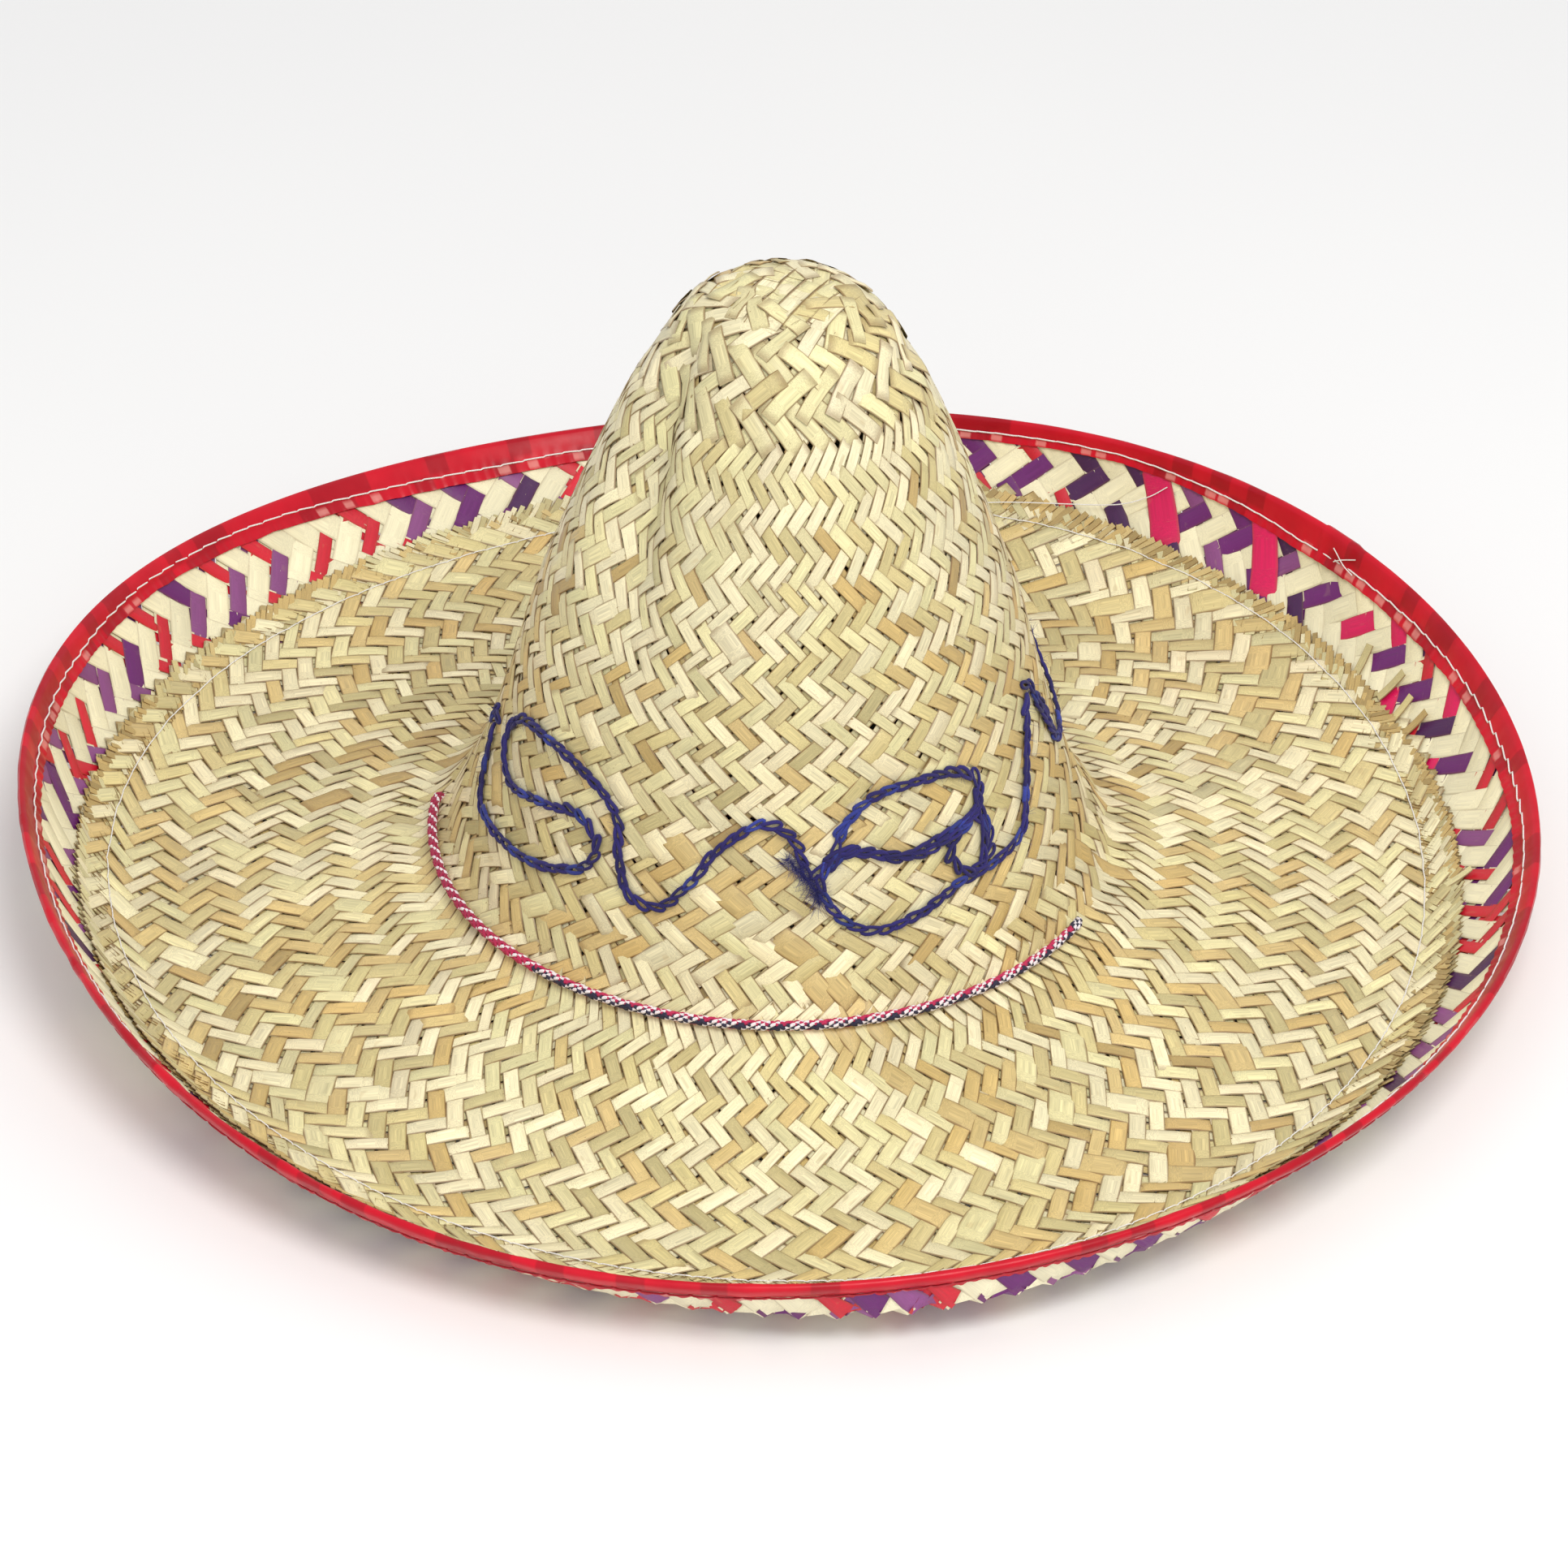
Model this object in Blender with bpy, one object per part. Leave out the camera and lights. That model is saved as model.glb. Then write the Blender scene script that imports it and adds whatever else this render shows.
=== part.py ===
"""Straw sombrero: a woven palm body (crown and brim in one), a coloured woven border sewn under its
edge, a folded vinyl binding round the rim, the two seams that hold them, yarn embroidery on the crown,
and a braided cord that lies round the crown's foot and goes through the straw to two tied chin strands.

Metres, +Z up, front towards -Y. The origin is on the table, under the middle of the rim.
Angles run anticlockwise seen from above, with 0 at +X, so the front is at -90 degrees.
"""
import math

import bmesh
import bpy
from mathutils import Vector

# Driving dimensions, in metres
SEGMENTS = 60
STRAW_THICKNESS = 0.0012
BORDER_THICKNESS = 0.0008
BINDING_THICKNESS = 0.0004
THREAD_SIZE = 0.0004
YARN_DIAMETER = 0.0024
CORD_DIAMETER = 0.0034
GAP = 0.0003
BINDING_GAP = 0.0006
CORD_GAP = 0.0005
YARN_GAP = 0.0007

# The crown's axis, a little off the middle of the rim's outline
CROWN_AXIS = Vector((-0.0023, 0.0011, 0))

# Meridian of the crown and the brim as far as its flat part, which the hat stands on: radius and
# height of the straw's middle surface
FLAT_HEIGHT = STRAW_THICKNESS / 2
FLAT_INNER_RADIUS = 0.193
FLAT_OUTER_RADIUS = 0.206
CROWN_MERIDIAN = (
    (0.0, 0.2295),
    (0.0170, 0.2284),
    (0.0275, 0.2243),
    (0.0350, 0.2168),
    (0.0415, 0.2052),
    (0.0512, 0.1885),
    (0.0665, 0.1520),
    (0.0808, 0.1134),
    (0.0918, 0.0740),
    (0.1035, 0.0385),
    (0.1160, 0.0165),
    (0.1300, 0.0105),
    (0.1500, 0.0066),
    (0.1700, 0.0032),
    (FLAT_INNER_RADIUS, FLAT_HEIGHT),
)
ROWS_PER_STRETCH = (1, 1, 1, 1, 1, 1, 1, 1, 2, 3, 3, 1, 1, 1)

# A soft crease down the front left of the crown; it leans, so its angle changes with height
DENT_DEPTH = 0.011
DENT_ANGLE = math.radians(-145)
DENT_LEAN = math.radians(-200)
DENT_SPREAD = math.radians(13)
DENT_HEIGHT = 0.172
DENT_TALL = 0.046

# The turned-up brim, as waves round the hat: mean, then (turns, cosine part, sine part)
SEAM_RADIUS = (0.2310, ((1, 0.0017, -0.0003), (2, -0.0026, 0.0015), (3, -0.0036, 0.0013)))
SEAM_HEIGHT = (0.0055, ((1, 0.0000, 0.0005), (2, 0.0002, 0.0005), (3, -0.0021, 0.0000)))
RIM_RADIUS = (0.2600, ((1, 0.0013, -0.0003), (2, -0.0007, -0.0013), (3, 0.0012, 0.0007)))
RIM_HEIGHT = (0.0352, ((1, -0.0021, 0.0025), (2, 0.0065, 0.0028), (3, -0.0047, 0.0005)))
STRAW_EDGE_STATION = (0.576, ((1, -0.021, -0.010), (2, 0.009, -0.015), (3, 0.033, -0.044)))

# Stations across the turned-up brim: 0 at the flat part's edge, 1 at the rim
SEAM_STATION = 0.380
BORDER_STATIONS = (0.325, 0.44, 0.56, 0.69, 0.82, 0.90, 0.976)
BINDING_LEG_STATIONS = BORDER_STATIONS[-3:]
BINDING_SEAM_STATION = 0.885
STATION_LENGTH = 0.067

# The binding's lapped join, at the back right
LAP_ANGLE = math.radians(36)
LAP_LENGTH = math.radians(3.5)
LAP_LIFT = BINDING_THICKNESS + 0.00035

# The braided cord: the ring it lies on, its two holes, and the bend into them
CORD_RING_RADIUS = 0.1160
CORD_RING_HEIGHT = 0.0165
HOLE_ANGLES = (math.radians(173), math.radians(333))
HOLE_RADIUS = 0.0030
CORD_BEND_RADIUS = 0.005
CORD_TURN_BEFORE_HOLE = 0.0046 / CORD_RING_RADIUS
CORD_END_DEPTH = 0.0045
CORD_POINT_SPACING = 0.008
STRAND_STRAIGHT = 0.0012
TABLE_CLEARANCE = 0.0001

# Chin strands, lying on the table inside the crown
KNOT_CENTRE = Vector((-0.004, 0.002, 0.0041))
KNOT_RADII = Vector((0.0058, 0.0046, 0.0038))
LEFT_STRAND_ROUTE = (
    (-0.1030, 0.0120),
    (-0.0950, 0.0080),
    (-0.0890, -0.0030),
    (-0.0840, -0.0220),
    (-0.0720, -0.0440),
    (-0.0480, -0.0660),
    (-0.0160, -0.0740),
    (0.0130, -0.0670),
    (0.0270, -0.0470),
    (0.0210, -0.0270),
    (0.0000, -0.0220),
    (-0.0230, -0.0290),
    (-0.0430, -0.0220),
    (-0.0470, -0.0040),
    (-0.0340, 0.0060),
    (-0.0200, 0.0040),
)
RIGHT_STRAND_ROUTE = (
    (0.0930, -0.0460),
    (0.0875, -0.0380),
    (0.0855, -0.0200),
    (0.0850, 0.0130),
    (0.0720, 0.0440),
    (0.0480, 0.0660),
    (0.0160, 0.0740),
    (-0.0150, 0.0680),
    (-0.0300, 0.0500),
    (-0.0260, 0.0320),
    (-0.0060, 0.0280),
    (0.0180, 0.0340),
    (0.0400, 0.0260),
    (0.0440, 0.0080),
    (0.0300, -0.0020),
    (0.0130, 0.0000),
)

# Yarn embroidery on the crown: angle in degrees and height in metres of each route's own points
LEFT_YARN_ROUTE = (
    (-178, 0.060),
    (-175, 0.068),
    (-171, 0.055),
    (-166, 0.044),
    (-155, 0.042),
    (-142, 0.044),
    (-131, 0.050),
    (-127, 0.059),
    (-132, 0.067),
    (-143, 0.064),
    (-155, 0.060),
    (-163, 0.068),
    (-159, 0.080),
    (-146, 0.084),
    (-134, 0.082),
    (-125, 0.075),
    (-122, 0.063),
    (-119, 0.052),
    (-113, 0.048),
    (-107, 0.056),
    (-102, 0.068),
    (-94, 0.079),
    (-87, 0.076),
    (-84, 0.067),
)
RIGHT_YARN_ROUTE = (
    (18, 0.085),
    (16, 0.075),
    (6, 0.064),
    (-5, 0.063),
    (-12, 0.079),
    (-16, 0.093),
    (-22, 0.082),
    (-27, 0.069),
    (-32, 0.056),
    (-41, 0.051),
    (-51, 0.050),
    (-61, 0.045),
    (-71, 0.043),
    (-78, 0.051),
    (-80, 0.062),
    (-74, 0.069),
    (-65, 0.065),
    (-55, 0.067),
    (-46, 0.070),
    (-43, 0.078),
    (-49, 0.086),
    (-59, 0.088),
    (-69, 0.086),
    (-75, 0.079),
)

# Colours: red, green, blue
PALM_STRAW = (0.72, 0.64, 0.38)
DYED_PALM = (0.78, 0.62, 0.55)
RED_VINYL = (0.62, 0.01, 0.03)
WHITE_THREAD = (0.85, 0.85, 0.83)
RED_THREAD = (0.44, 0.008, 0.02)
BLUE_YARN = (0.03, 0.02, 0.22)
BRAIDED_CORD = (0.45, 0.05, 0.14)


# ---- The hat's surfaces ----


def wave(angle, shape):
    """The value of a quantity that changes gently round the hat."""
    mean, terms = shape
    return mean + sum(c * math.cos(n * angle) + s * math.sin(n * angle) for n, c, s in terms)


def smooth_curve(points, steps):
    """Points on the Catmull-Rom curve through the given points, with steps[i] points in stretch i."""
    points = [Vector(p) for p in points]
    first = points[0] * 2 - points[1]
    last = points[-1] * 2 - points[-2]
    ends = [first] + points + [last]
    curve = []
    for i, count in enumerate(steps):
        before, start, end, after = ends[i : i + 4]
        for k in range(count):
            t = k / count
            curve.append(
                (
                    start * 2
                    + (end - before) * t
                    + (before * 2 - start * 5 + end * 4 - after) * t * t
                    + (start * 3 - before - end * 3 + after) * t * t * t
                )
                / 2
            )
    curve.append(points[-1])
    return curve


def even_points(points, spacing):
    """Points at an even spacing along the smooth curve through the given points."""
    fine = smooth_curve(points, [24] * (len(points) - 1))
    lengths = [0.0]
    for a, b in zip(fine, fine[1:]):
        lengths.append(lengths[-1] + (b - a).length)
    count = max(2, round(lengths[-1] / spacing))
    even = []
    k = 0
    for i in range(count + 1):
        wanted = lengths[-1] * i / count
        while k < len(fine) - 2 and lengths[k + 1] < wanted:
            k += 1
        share = (wanted - lengths[k]) / (lengths[k + 1] - lengths[k])
        even.append(fine[k].lerp(fine[k + 1], share))
    return even


def dent(angle, height):
    """How far the crease pushes the crown's wall in."""
    middle = DENT_ANGLE + DENT_LEAN * (height - DENT_HEIGHT)
    turn = math.remainder(angle - middle, math.tau) / DENT_SPREAD
    rise = (height - DENT_HEIGHT) / DENT_TALL
    return DENT_DEPTH * math.exp(-turn * turn - rise * rise)


def crown_meridian():
    """Rows of (radius, height) from the top of the crown to the flat part of the brim."""
    flat_points = [Vector((r, z)) for r, z in CROWN_MERIDIAN]
    rows = smooth_curve(flat_points, ROWS_PER_STRETCH)
    return [(max(r, 0.0), max(z, FLAT_HEIGHT)) for r, z in rows]


def crown_radius(height):
    """The crown's radius at a height, read from its meridian."""
    fine = smooth_curve([Vector(p) for p in CROWN_MERIDIAN], [16] * (len(CROWN_MERIDIAN) - 1))
    for upper, lower in zip(fine, fine[1:]):
        if lower[1] <= height <= upper[1]:
            share = (upper[1] - height) / max(upper[1] - lower[1], 1e-9)
            return upper[0] + (lower[0] - upper[0]) * share
    return FLAT_INNER_RADIUS


def around(angle, radius, height):
    return Vector((radius * math.cos(angle), radius * math.sin(angle), height))


def crown_point(angle, radius, height):
    return around(angle, radius - dent(angle, height), height)


def brim_radius_and_height(angle, station):
    """The turned-up brim's meridian: through the flat edge, the seam and the rim, level at its start."""
    seam_radius = wave(angle, SEAM_RADIUS)
    seam_rise = wave(angle, SEAM_HEIGHT) - FLAT_HEIGHT
    rim_radius = wave(angle, RIM_RADIUS)
    rim_rise = wave(angle, RIM_HEIGHT) - FLAT_HEIGHT
    s = SEAM_STATION
    reach = rim_radius - FLAT_OUTER_RADIUS
    bend = (seam_radius - FLAT_OUTER_RADIUS - reach * s) / (s * s - s)
    radius = FLAT_OUTER_RADIUS + (reach - bend) * station + bend * station**2
    square = (seam_rise - rim_rise * s**3) / (s * s - s**3)
    height = FLAT_HEIGHT + square * station**2 + (rim_rise - square) * station**3
    return radius, height


def brim_point(angle, station, lift=0.0):
    """A point on the turned-up brim, lift above its middle surface."""
    radius, height = brim_radius_and_height(angle, station)
    step = 0.001
    r2, z2 = brim_radius_and_height(angle, station + step)
    slope = math.atan2(z2 - height, r2 - radius)
    return around(angle, radius - lift * math.sin(slope), height + lift * math.cos(slope))


def on_crown(angle, height, lift):
    """A point on the crown's wall, lift outside its middle surface."""
    step = 0.002
    radius = crown_radius(height)
    slope = math.atan2(crown_radius(height - step) - radius, step)
    return crown_point(angle, radius, height) + around(angle, math.cos(slope), math.sin(slope)) * lift


# ---- Meshes ----


def material(name, colour, roughness, metallic=0.0):
    made = bpy.data.materials.new(name)
    made.use_nodes = True
    shader = made.node_tree.nodes["Principled BSDF"]
    shader.inputs["Base Color"].default_value = (*colour, 1)
    shader.inputs["Roughness"].default_value = roughness
    shader.inputs["Metallic"].default_value = metallic
    return made


def add_object(name, mesh_data, finish):
    made = bpy.data.objects.new(name, mesh_data)
    made.data.materials.append(finish)
    bpy.context.scene.collection.objects.link(made)
    return made


def add_mesh(name, finish, fill, sharp_angle=math.radians(50)):
    """A mesh object whose faces are made by fill(bm), turned to face outwards."""
    bm = bmesh.new()
    fill(bm)
    bmesh.ops.recalc_face_normals(bm, faces=bm.faces)
    data = bpy.data.meshes.new(name)
    bm.to_mesh(data)
    bm.free()
    data.shade_smooth()
    data.set_sharp_from_angle(angle=sharp_angle)
    return add_object(name, data, finish)


def join_loops(bm, first, second):
    """Faces between two closed loops of the same length; either may be a single point."""
    count = max(len(first), len(second))
    for i in range(count):
        j = (i + 1) % count
        if len(first) == 1:
            bm.faces.new((first[0], second[i], second[j]))
        elif len(second) == 1:
            bm.faces.new((first[i], second[0], first[j]))
        else:
            bm.faces.new((first[i], second[i], second[j], first[j]))


def ring_angles():
    return [LAP_ANGLE + math.tau * i / SEGMENTS for i in range(SEGMENTS)]


def row_normals(rows):
    """Outward directions, at one angle, of a row of points running from the crown's top to the edge."""
    normals = []
    for i, point in enumerate(rows):
        along = rows[min(i + 1, len(rows) - 1)] - rows[max(i - 1, 0)]
        side = Vector((-point.y, point.x, 0))
        if side.length < 1e-6 or abs(along.z) < 1e-9:
            normals.append(Vector((0, 0, 1)))
            continue
        normals.append(along.cross(side).normalized())
    return normals


def straw_rows(angle):
    """Points of the straw body's middle surface at one angle, top to edge."""
    rows = [crown_point(angle, r, z) for r, z in crown_meridian()]
    stations = [wave(angle, STRAW_EDGE_STATION) * i / 4 for i in range(5)]
    return rows + [brim_point(angle, s) for s in stations]


def flat_normals(rows, normals):
    """The flat part of the brim keeps its faces level, right up to where the brim turns up."""
    for i, point in enumerate(rows):
        radius = math.hypot(point.x, point.y)
        if FLAT_INNER_RADIUS - 0.001 < radius < FLAT_OUTER_RADIUS + 0.001:
            normals[i] = Vector((0, 0, 1))
    return normals


def straw_skin(side):
    """Loops of points of the straw body's outer (side +1) or inner (side -1) skin."""
    columns = []
    for angle in ring_angles():
        rows = straw_rows(angle)
        normals = flat_normals(rows, row_normals(rows))
        offset = side * STRAW_THICKNESS / 2
        columns.append([p + n * offset for p, n in zip(rows, normals)])
    loops = [[column[i] for column in columns] for i in range(1, len(columns[0]))]
    return [[columns[0][0]]] + loops


def straw_body(finish):
    def fill(bm):
        ends = []
        for side in (1, -1):
            loops = [[bm.verts.new(p) for p in loop] for loop in straw_skin(side)]
            for upper, lower in zip(loops, loops[1:]):
                join_loops(bm, upper, lower)
            ends.append(loops[-1])
        join_loops(bm, *ends)

    body = add_mesh("woven_straw_body", finish, fill)
    for index, angle in enumerate(HOLE_ANGLES):
        cutter = hole_cutter(index, angle)
        cut = body.modifiers.new(f"cord_hole_{index}", "BOOLEAN")
        cut.operation = "DIFFERENCE"
        cut.solver = "EXACT"
        cut.object = cutter
    return body


def hole_cutter(index, angle):
    """A round cutter through the straw where the cord goes in."""
    centre = around(angle, CORD_RING_RADIUS, CORD_RING_HEIGHT)
    bm = bmesh.new()
    bmesh.ops.create_cone(
        bm, cap_ends=True, segments=12, radius1=HOLE_RADIUS, radius2=HOLE_RADIUS, depth=0.008
    )
    data = bpy.data.meshes.new(f"cord_hole_cutter_{index}")
    bm.to_mesh(data)
    bm.free()
    cutter = bpy.data.objects.new(data.name, data)
    cutter.location = centre
    cutter.rotation_mode = "QUATERNION"
    cutter.rotation_quaternion = ring_normal(angle).to_track_quat("Z", "Y")
    cutter.hide_render = True
    cutter.display_type = "WIRE"
    bpy.context.scene.collection.objects.link(cutter)
    return cutter


def brim_ring(name, finish, section):
    """A ring round the brim: section(angle) gives the closed outline of (station, lift) pairs there."""

    def fill(bm):
        rings = [[bm.verts.new(brim_point(a, s, h)) for s, h in section(a)] for a in ring_angles()]
        for i, ring in enumerate(rings):
            join_loops(bm, ring, rings[(i + 1) % len(rings)])

    return add_mesh(name, finish, fill)


def border_lift():
    """Height of the border's middle over the straw's middle surface, which it lies under."""
    return -(STRAW_THICKNESS / 2 + GAP + BORDER_THICKNESS / 2)


def border_band(finish):
    middle = border_lift()
    top = middle + BORDER_THICKNESS / 2
    bottom = middle - BORDER_THICKNESS / 2
    outline = [(s, top) for s in BORDER_STATIONS] + [(s, bottom) for s in reversed(BORDER_STATIONS)]
    return brim_ring("coloured_border_band", finish, lambda angle: outline)


def binding_section(extra):
    """The binding's U-shaped outline round the border's edge, opened out by extra on the lap."""
    middle = border_lift()
    inner = BORDER_THICKNESS / 2 + BINDING_GAP + extra
    outer = inner + BINDING_THICKNESS
    tip = extra / STATION_LENGTH
    outer_nose = (0.9945 + tip, outer - BINDING_THICKNESS)
    inner_nose = (0.9850 + tip, inner - BINDING_THICKNESS)
    upper_outer = [(s, outer) for s in BINDING_LEG_STATIONS] + [outer_nose]
    lower_outer = [(s, -h) for s, h in reversed(upper_outer)]
    lower_inner = [(s, -inner) for s in BINDING_LEG_STATIONS] + [(inner_nose[0], -inner_nose[1])]
    upper_inner = [(s, -h) for s, h in reversed(lower_inner)]
    outline = upper_outer + lower_outer + lower_inner + upper_inner
    return [(s, middle + h) for s, h in outline]


def rim_binding(finish):
    """The binding goes once round the rim, and its end laps over its start."""

    def fill(bm):
        step = math.tau / SEGMENTS
        places = [(LAP_ANGLE + step * i, 0.0) for i in range(SEGMENTS)]
        places += [(LAP_ANGLE, LAP_LIFT), (LAP_ANGLE + LAP_LENGTH, LAP_LIFT)]
        rings = []
        for angle, extra in places:
            rings.append([bm.verts.new(brim_point(angle, s, h)) for s, h in binding_section(extra)])
        for ring, following in zip(rings, rings[1:]):
            join_loops(bm, ring, following)
        bm.faces.new(rings[0])
        bm.faces.new(rings[-1])

    return add_mesh("rim_binding", finish, fill)


def thread_section(station, lift):
    """A square thread outline centred at a station and lift."""
    half = THREAD_SIZE / 2
    wide = half / STATION_LENGTH
    return [
        (station - wide, lift - half),
        (station + wide, lift - half),
        (station + wide, lift + half),
        (station - wide, lift + half),
    ]


def brim_seam_threads(finish):
    """The seam that holds the border under the straw: needle thread above, bobbin thread below."""
    above = STRAW_THICKNESS / 2 + GAP + THREAD_SIZE / 2
    below = border_lift() - BORDER_THICKNESS / 2 - GAP - THREAD_SIZE / 2
    for name, lift in (("brim_seam_needle_thread", above), ("brim_seam_bobbin_thread", below)):
        outline = thread_section(SEAM_STATION, lift)
        brim_ring(name, finish, lambda angle, outline=outline: outline)


def lap_lift_at(angle):
    """The binding's threads ride up over the lap, which lies between ring angles 0 and 1."""
    step = math.tau / SEGMENTS
    turn = math.remainder(angle - LAP_ANGLE, math.tau) / step
    return LAP_LIFT if -0.5 < turn < 1.5 else 0.0


def binding_seam_threads(upper, lower):
    """The seam through the binding and the border's edge: needle thread above, bobbin thread below."""
    reach = BORDER_THICKNESS / 2 + BINDING_GAP + BINDING_THICKNESS + GAP + THREAD_SIZE / 2
    for name, side, finish in (
        ("binding_needle_thread", 1, upper),
        ("binding_bobbin_thread", -1, lower),
    ):

        def section(angle, side=side):
            lift = border_lift() + side * (reach + lap_lift_at(angle))
            return thread_section(BINDING_SEAM_STATION, lift)

        brim_ring(name, finish, section)


# ---- Yarn, cord and knot ----


def tube(name, finish, points, diameter, resolution=2):
    """A round cord as a curve with a bevel and filled ends, through points close together."""
    data = bpy.data.curves.new(name, "CURVE")
    data.dimensions = "3D"
    data.bevel_depth = diameter / 2
    data.bevel_resolution = resolution
    data.use_fill_caps = True
    spline = data.splines.new("POLY")
    spline.points.add(len(points) - 1)
    for target, point in zip(spline.points, points):
        target.co = (*point, 1)
        target.radius = 1
    return add_object(name, data, finish)


def crown_yarn(name, finish, route):
    lift = STRAW_THICKNESS / 2 + YARN_GAP + YARN_DIAMETER / 2
    points = [on_crown(math.radians(a), z, lift) for a, z in route]
    return tube(name, finish, even_points(points, YARN_DIAMETER * 3), YARN_DIAMETER, 1)


def ring_normal(angle):
    """Outward direction of the straw where the cord lies: half way between the wall and the brim."""
    return around(angle, math.sqrt(0.5), math.sqrt(0.5))


def cord_ring_point(angle, lift):
    return around(angle, CORD_RING_RADIUS, CORD_RING_HEIGHT) + ring_normal(angle) * lift


def cord_bend(hole_angle, direction):
    """The cord's last points into a hole: a quarter turn, then straight in, from the ring inwards."""
    top = STRAW_THICKNESS / 2 + CORD_GAP + CORD_DIAMETER / 2
    start = hole_angle + direction * CORD_TURN_BEFORE_HOLE
    points = []
    for turn in (0.25, 0.5, 0.75, 1.0):
        a = turn * math.pi / 2
        along = CORD_BEND_RADIUS * math.sin(a) / CORD_RING_RADIUS
        lift = top - CORD_BEND_RADIUS * (1 - math.cos(a))
        points.append(cord_ring_point(start - direction * along, lift))
    inside = start - direction * CORD_BEND_RADIUS / CORD_RING_RADIUS
    points.append(cord_ring_point(inside, -CORD_END_DEPTH))
    return points


def front_cord_points():
    """The visible stretch: out of the left hole, round the front of the crown, into the right hole."""
    left, right = HOLE_ANGLES
    first = left + CORD_TURN_BEFORE_HOLE
    last = right - CORD_TURN_BEFORE_HOLE
    lift = STRAW_THICKNESS / 2 + CORD_GAP + CORD_DIAMETER / 2
    count = round((last - first) * CORD_RING_RADIUS / CORD_POINT_SPACING)
    ring = [cord_ring_point(first + (last - first) * i / count, lift) for i in range(count + 1)]
    return list(reversed(cord_bend(left, 1))) + ring + cord_bend(right, -1)


def strand_start(hole_angle, direction):
    """Where a chin strand begins, just past the end of the visible stretch."""
    inside = hole_angle + direction * (CORD_TURN_BEFORE_HOLE - CORD_BEND_RADIUS / CORD_RING_RADIUS)
    return cord_ring_point(inside, -CORD_END_DEPTH - GAP)


def chin_strand(name, finish, hole_angle, direction, route):
    """One chin strand, from its hole down to the table, along it, and into the knot."""
    table = CORD_DIAMETER / 2 + TABLE_CLEARANCE
    start = strand_start(hole_angle, direction)
    below = start - ring_normal(hole_angle) * STRAND_STRAIGHT
    flat = [Vector((x, y, table)) for x, y in route]
    rise = Vector((0, 0, (KNOT_CENTRE.z - table) * 0.5))
    side = math.copysign(1, route[-1][0] - KNOT_CENTRE.x)
    end = KNOT_CENTRE + Vector((side * (KNOT_RADII.x + GAP), 0, 0)) - rise
    points = even_points([below] + flat + [end], CORD_POINT_SPACING)
    for point in points:
        point.z = max(point.z, table)
    return tube(name, finish, [start] + points, CORD_DIAMETER)


def chin_knot(finish):
    def fill(bm):
        bmesh.ops.create_icosphere(bm, subdivisions=2, radius=1)
        bmesh.ops.scale(bm, vec=KNOT_RADII, verts=bm.verts)
        bmesh.ops.translate(bm, vec=KNOT_CENTRE, verts=bm.verts)

    return add_mesh("chin_cord_knot", finish, fill)


def stand_on_axis():
    """Hang every piece on one empty at the crown's axis."""
    axis = bpy.data.objects.new("crown_axis", None)
    axis.location = CROWN_AXIS
    pieces = [made for made in bpy.data.objects if made != axis]
    bpy.context.scene.collection.objects.link(axis)
    for piece in pieces:
        piece.parent = axis


def build():
    for old in list(bpy.data.objects):
        bpy.data.objects.remove(old, do_unlink=True)
    thread = material("white_thread", WHITE_THREAD, 0.7)
    yarn = material("blue_yarn", BLUE_YARN, 0.9)
    cord = material("braided_cord", BRAIDED_CORD, 0.6)
    straw_body(material("palm_straw", PALM_STRAW, 0.6))
    border_band(material("dyed_palm", DYED_PALM, 0.6))
    rim_binding(material("red_vinyl", RED_VINYL, 0.25))
    brim_seam_threads(thread)
    binding_seam_threads(thread, material("red_thread", RED_THREAD, 0.7))
    crown_yarn("crown_yarn_left", yarn, LEFT_YARN_ROUTE)
    crown_yarn("crown_yarn_right", yarn, RIGHT_YARN_ROUTE)
    tube("hat_cord_front", cord, front_cord_points(), CORD_DIAMETER)
    chin_strand("chin_cord_left", cord, HOLE_ANGLES[0], 1, LEFT_STRAND_ROUTE)
    chin_strand("chin_cord_right", cord, HOLE_ANGLES[1], -1, RIGHT_STRAND_ROUTE)
    chin_knot(cord)
    stand_on_axis()


build()
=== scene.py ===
"""Looks of a straw sombrero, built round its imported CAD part.

Every float of the herringbone plait is its own arched ribbon, laid on the hat's surface, outside
and inside. Angles run anticlockwise from above, the front is at -90 degrees, and lengths are in
metres.
"""

from math import acos, copysign, cos, exp, pi, radians, sin, sqrt, tan, tau

import bpy
import numpy as np
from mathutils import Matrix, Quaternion, Vector


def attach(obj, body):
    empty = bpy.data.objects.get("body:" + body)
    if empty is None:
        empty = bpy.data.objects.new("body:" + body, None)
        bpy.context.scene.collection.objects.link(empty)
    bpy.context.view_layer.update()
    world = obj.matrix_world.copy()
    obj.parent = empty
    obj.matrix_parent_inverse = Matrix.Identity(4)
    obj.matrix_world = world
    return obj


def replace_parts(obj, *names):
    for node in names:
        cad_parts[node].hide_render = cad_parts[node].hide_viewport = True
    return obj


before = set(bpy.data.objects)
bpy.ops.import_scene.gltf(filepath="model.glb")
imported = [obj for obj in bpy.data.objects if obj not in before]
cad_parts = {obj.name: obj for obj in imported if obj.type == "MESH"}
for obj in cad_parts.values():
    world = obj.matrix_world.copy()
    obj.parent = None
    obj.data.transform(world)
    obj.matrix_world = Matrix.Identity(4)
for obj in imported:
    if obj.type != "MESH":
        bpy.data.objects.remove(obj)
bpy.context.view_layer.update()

# ---- The hat's surfaces, as in the CAD part ----

AXIS = np.array([-0.0023, 0.0011, 0.0])
STRAW_THICK = 0.0012
BORDER_THICK = 0.0008
GAP = 0.0003
FLAT_HEIGHT = STRAW_THICK / 2
FLAT_INNER = 0.193
FLAT_OUTER = 0.206
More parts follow.
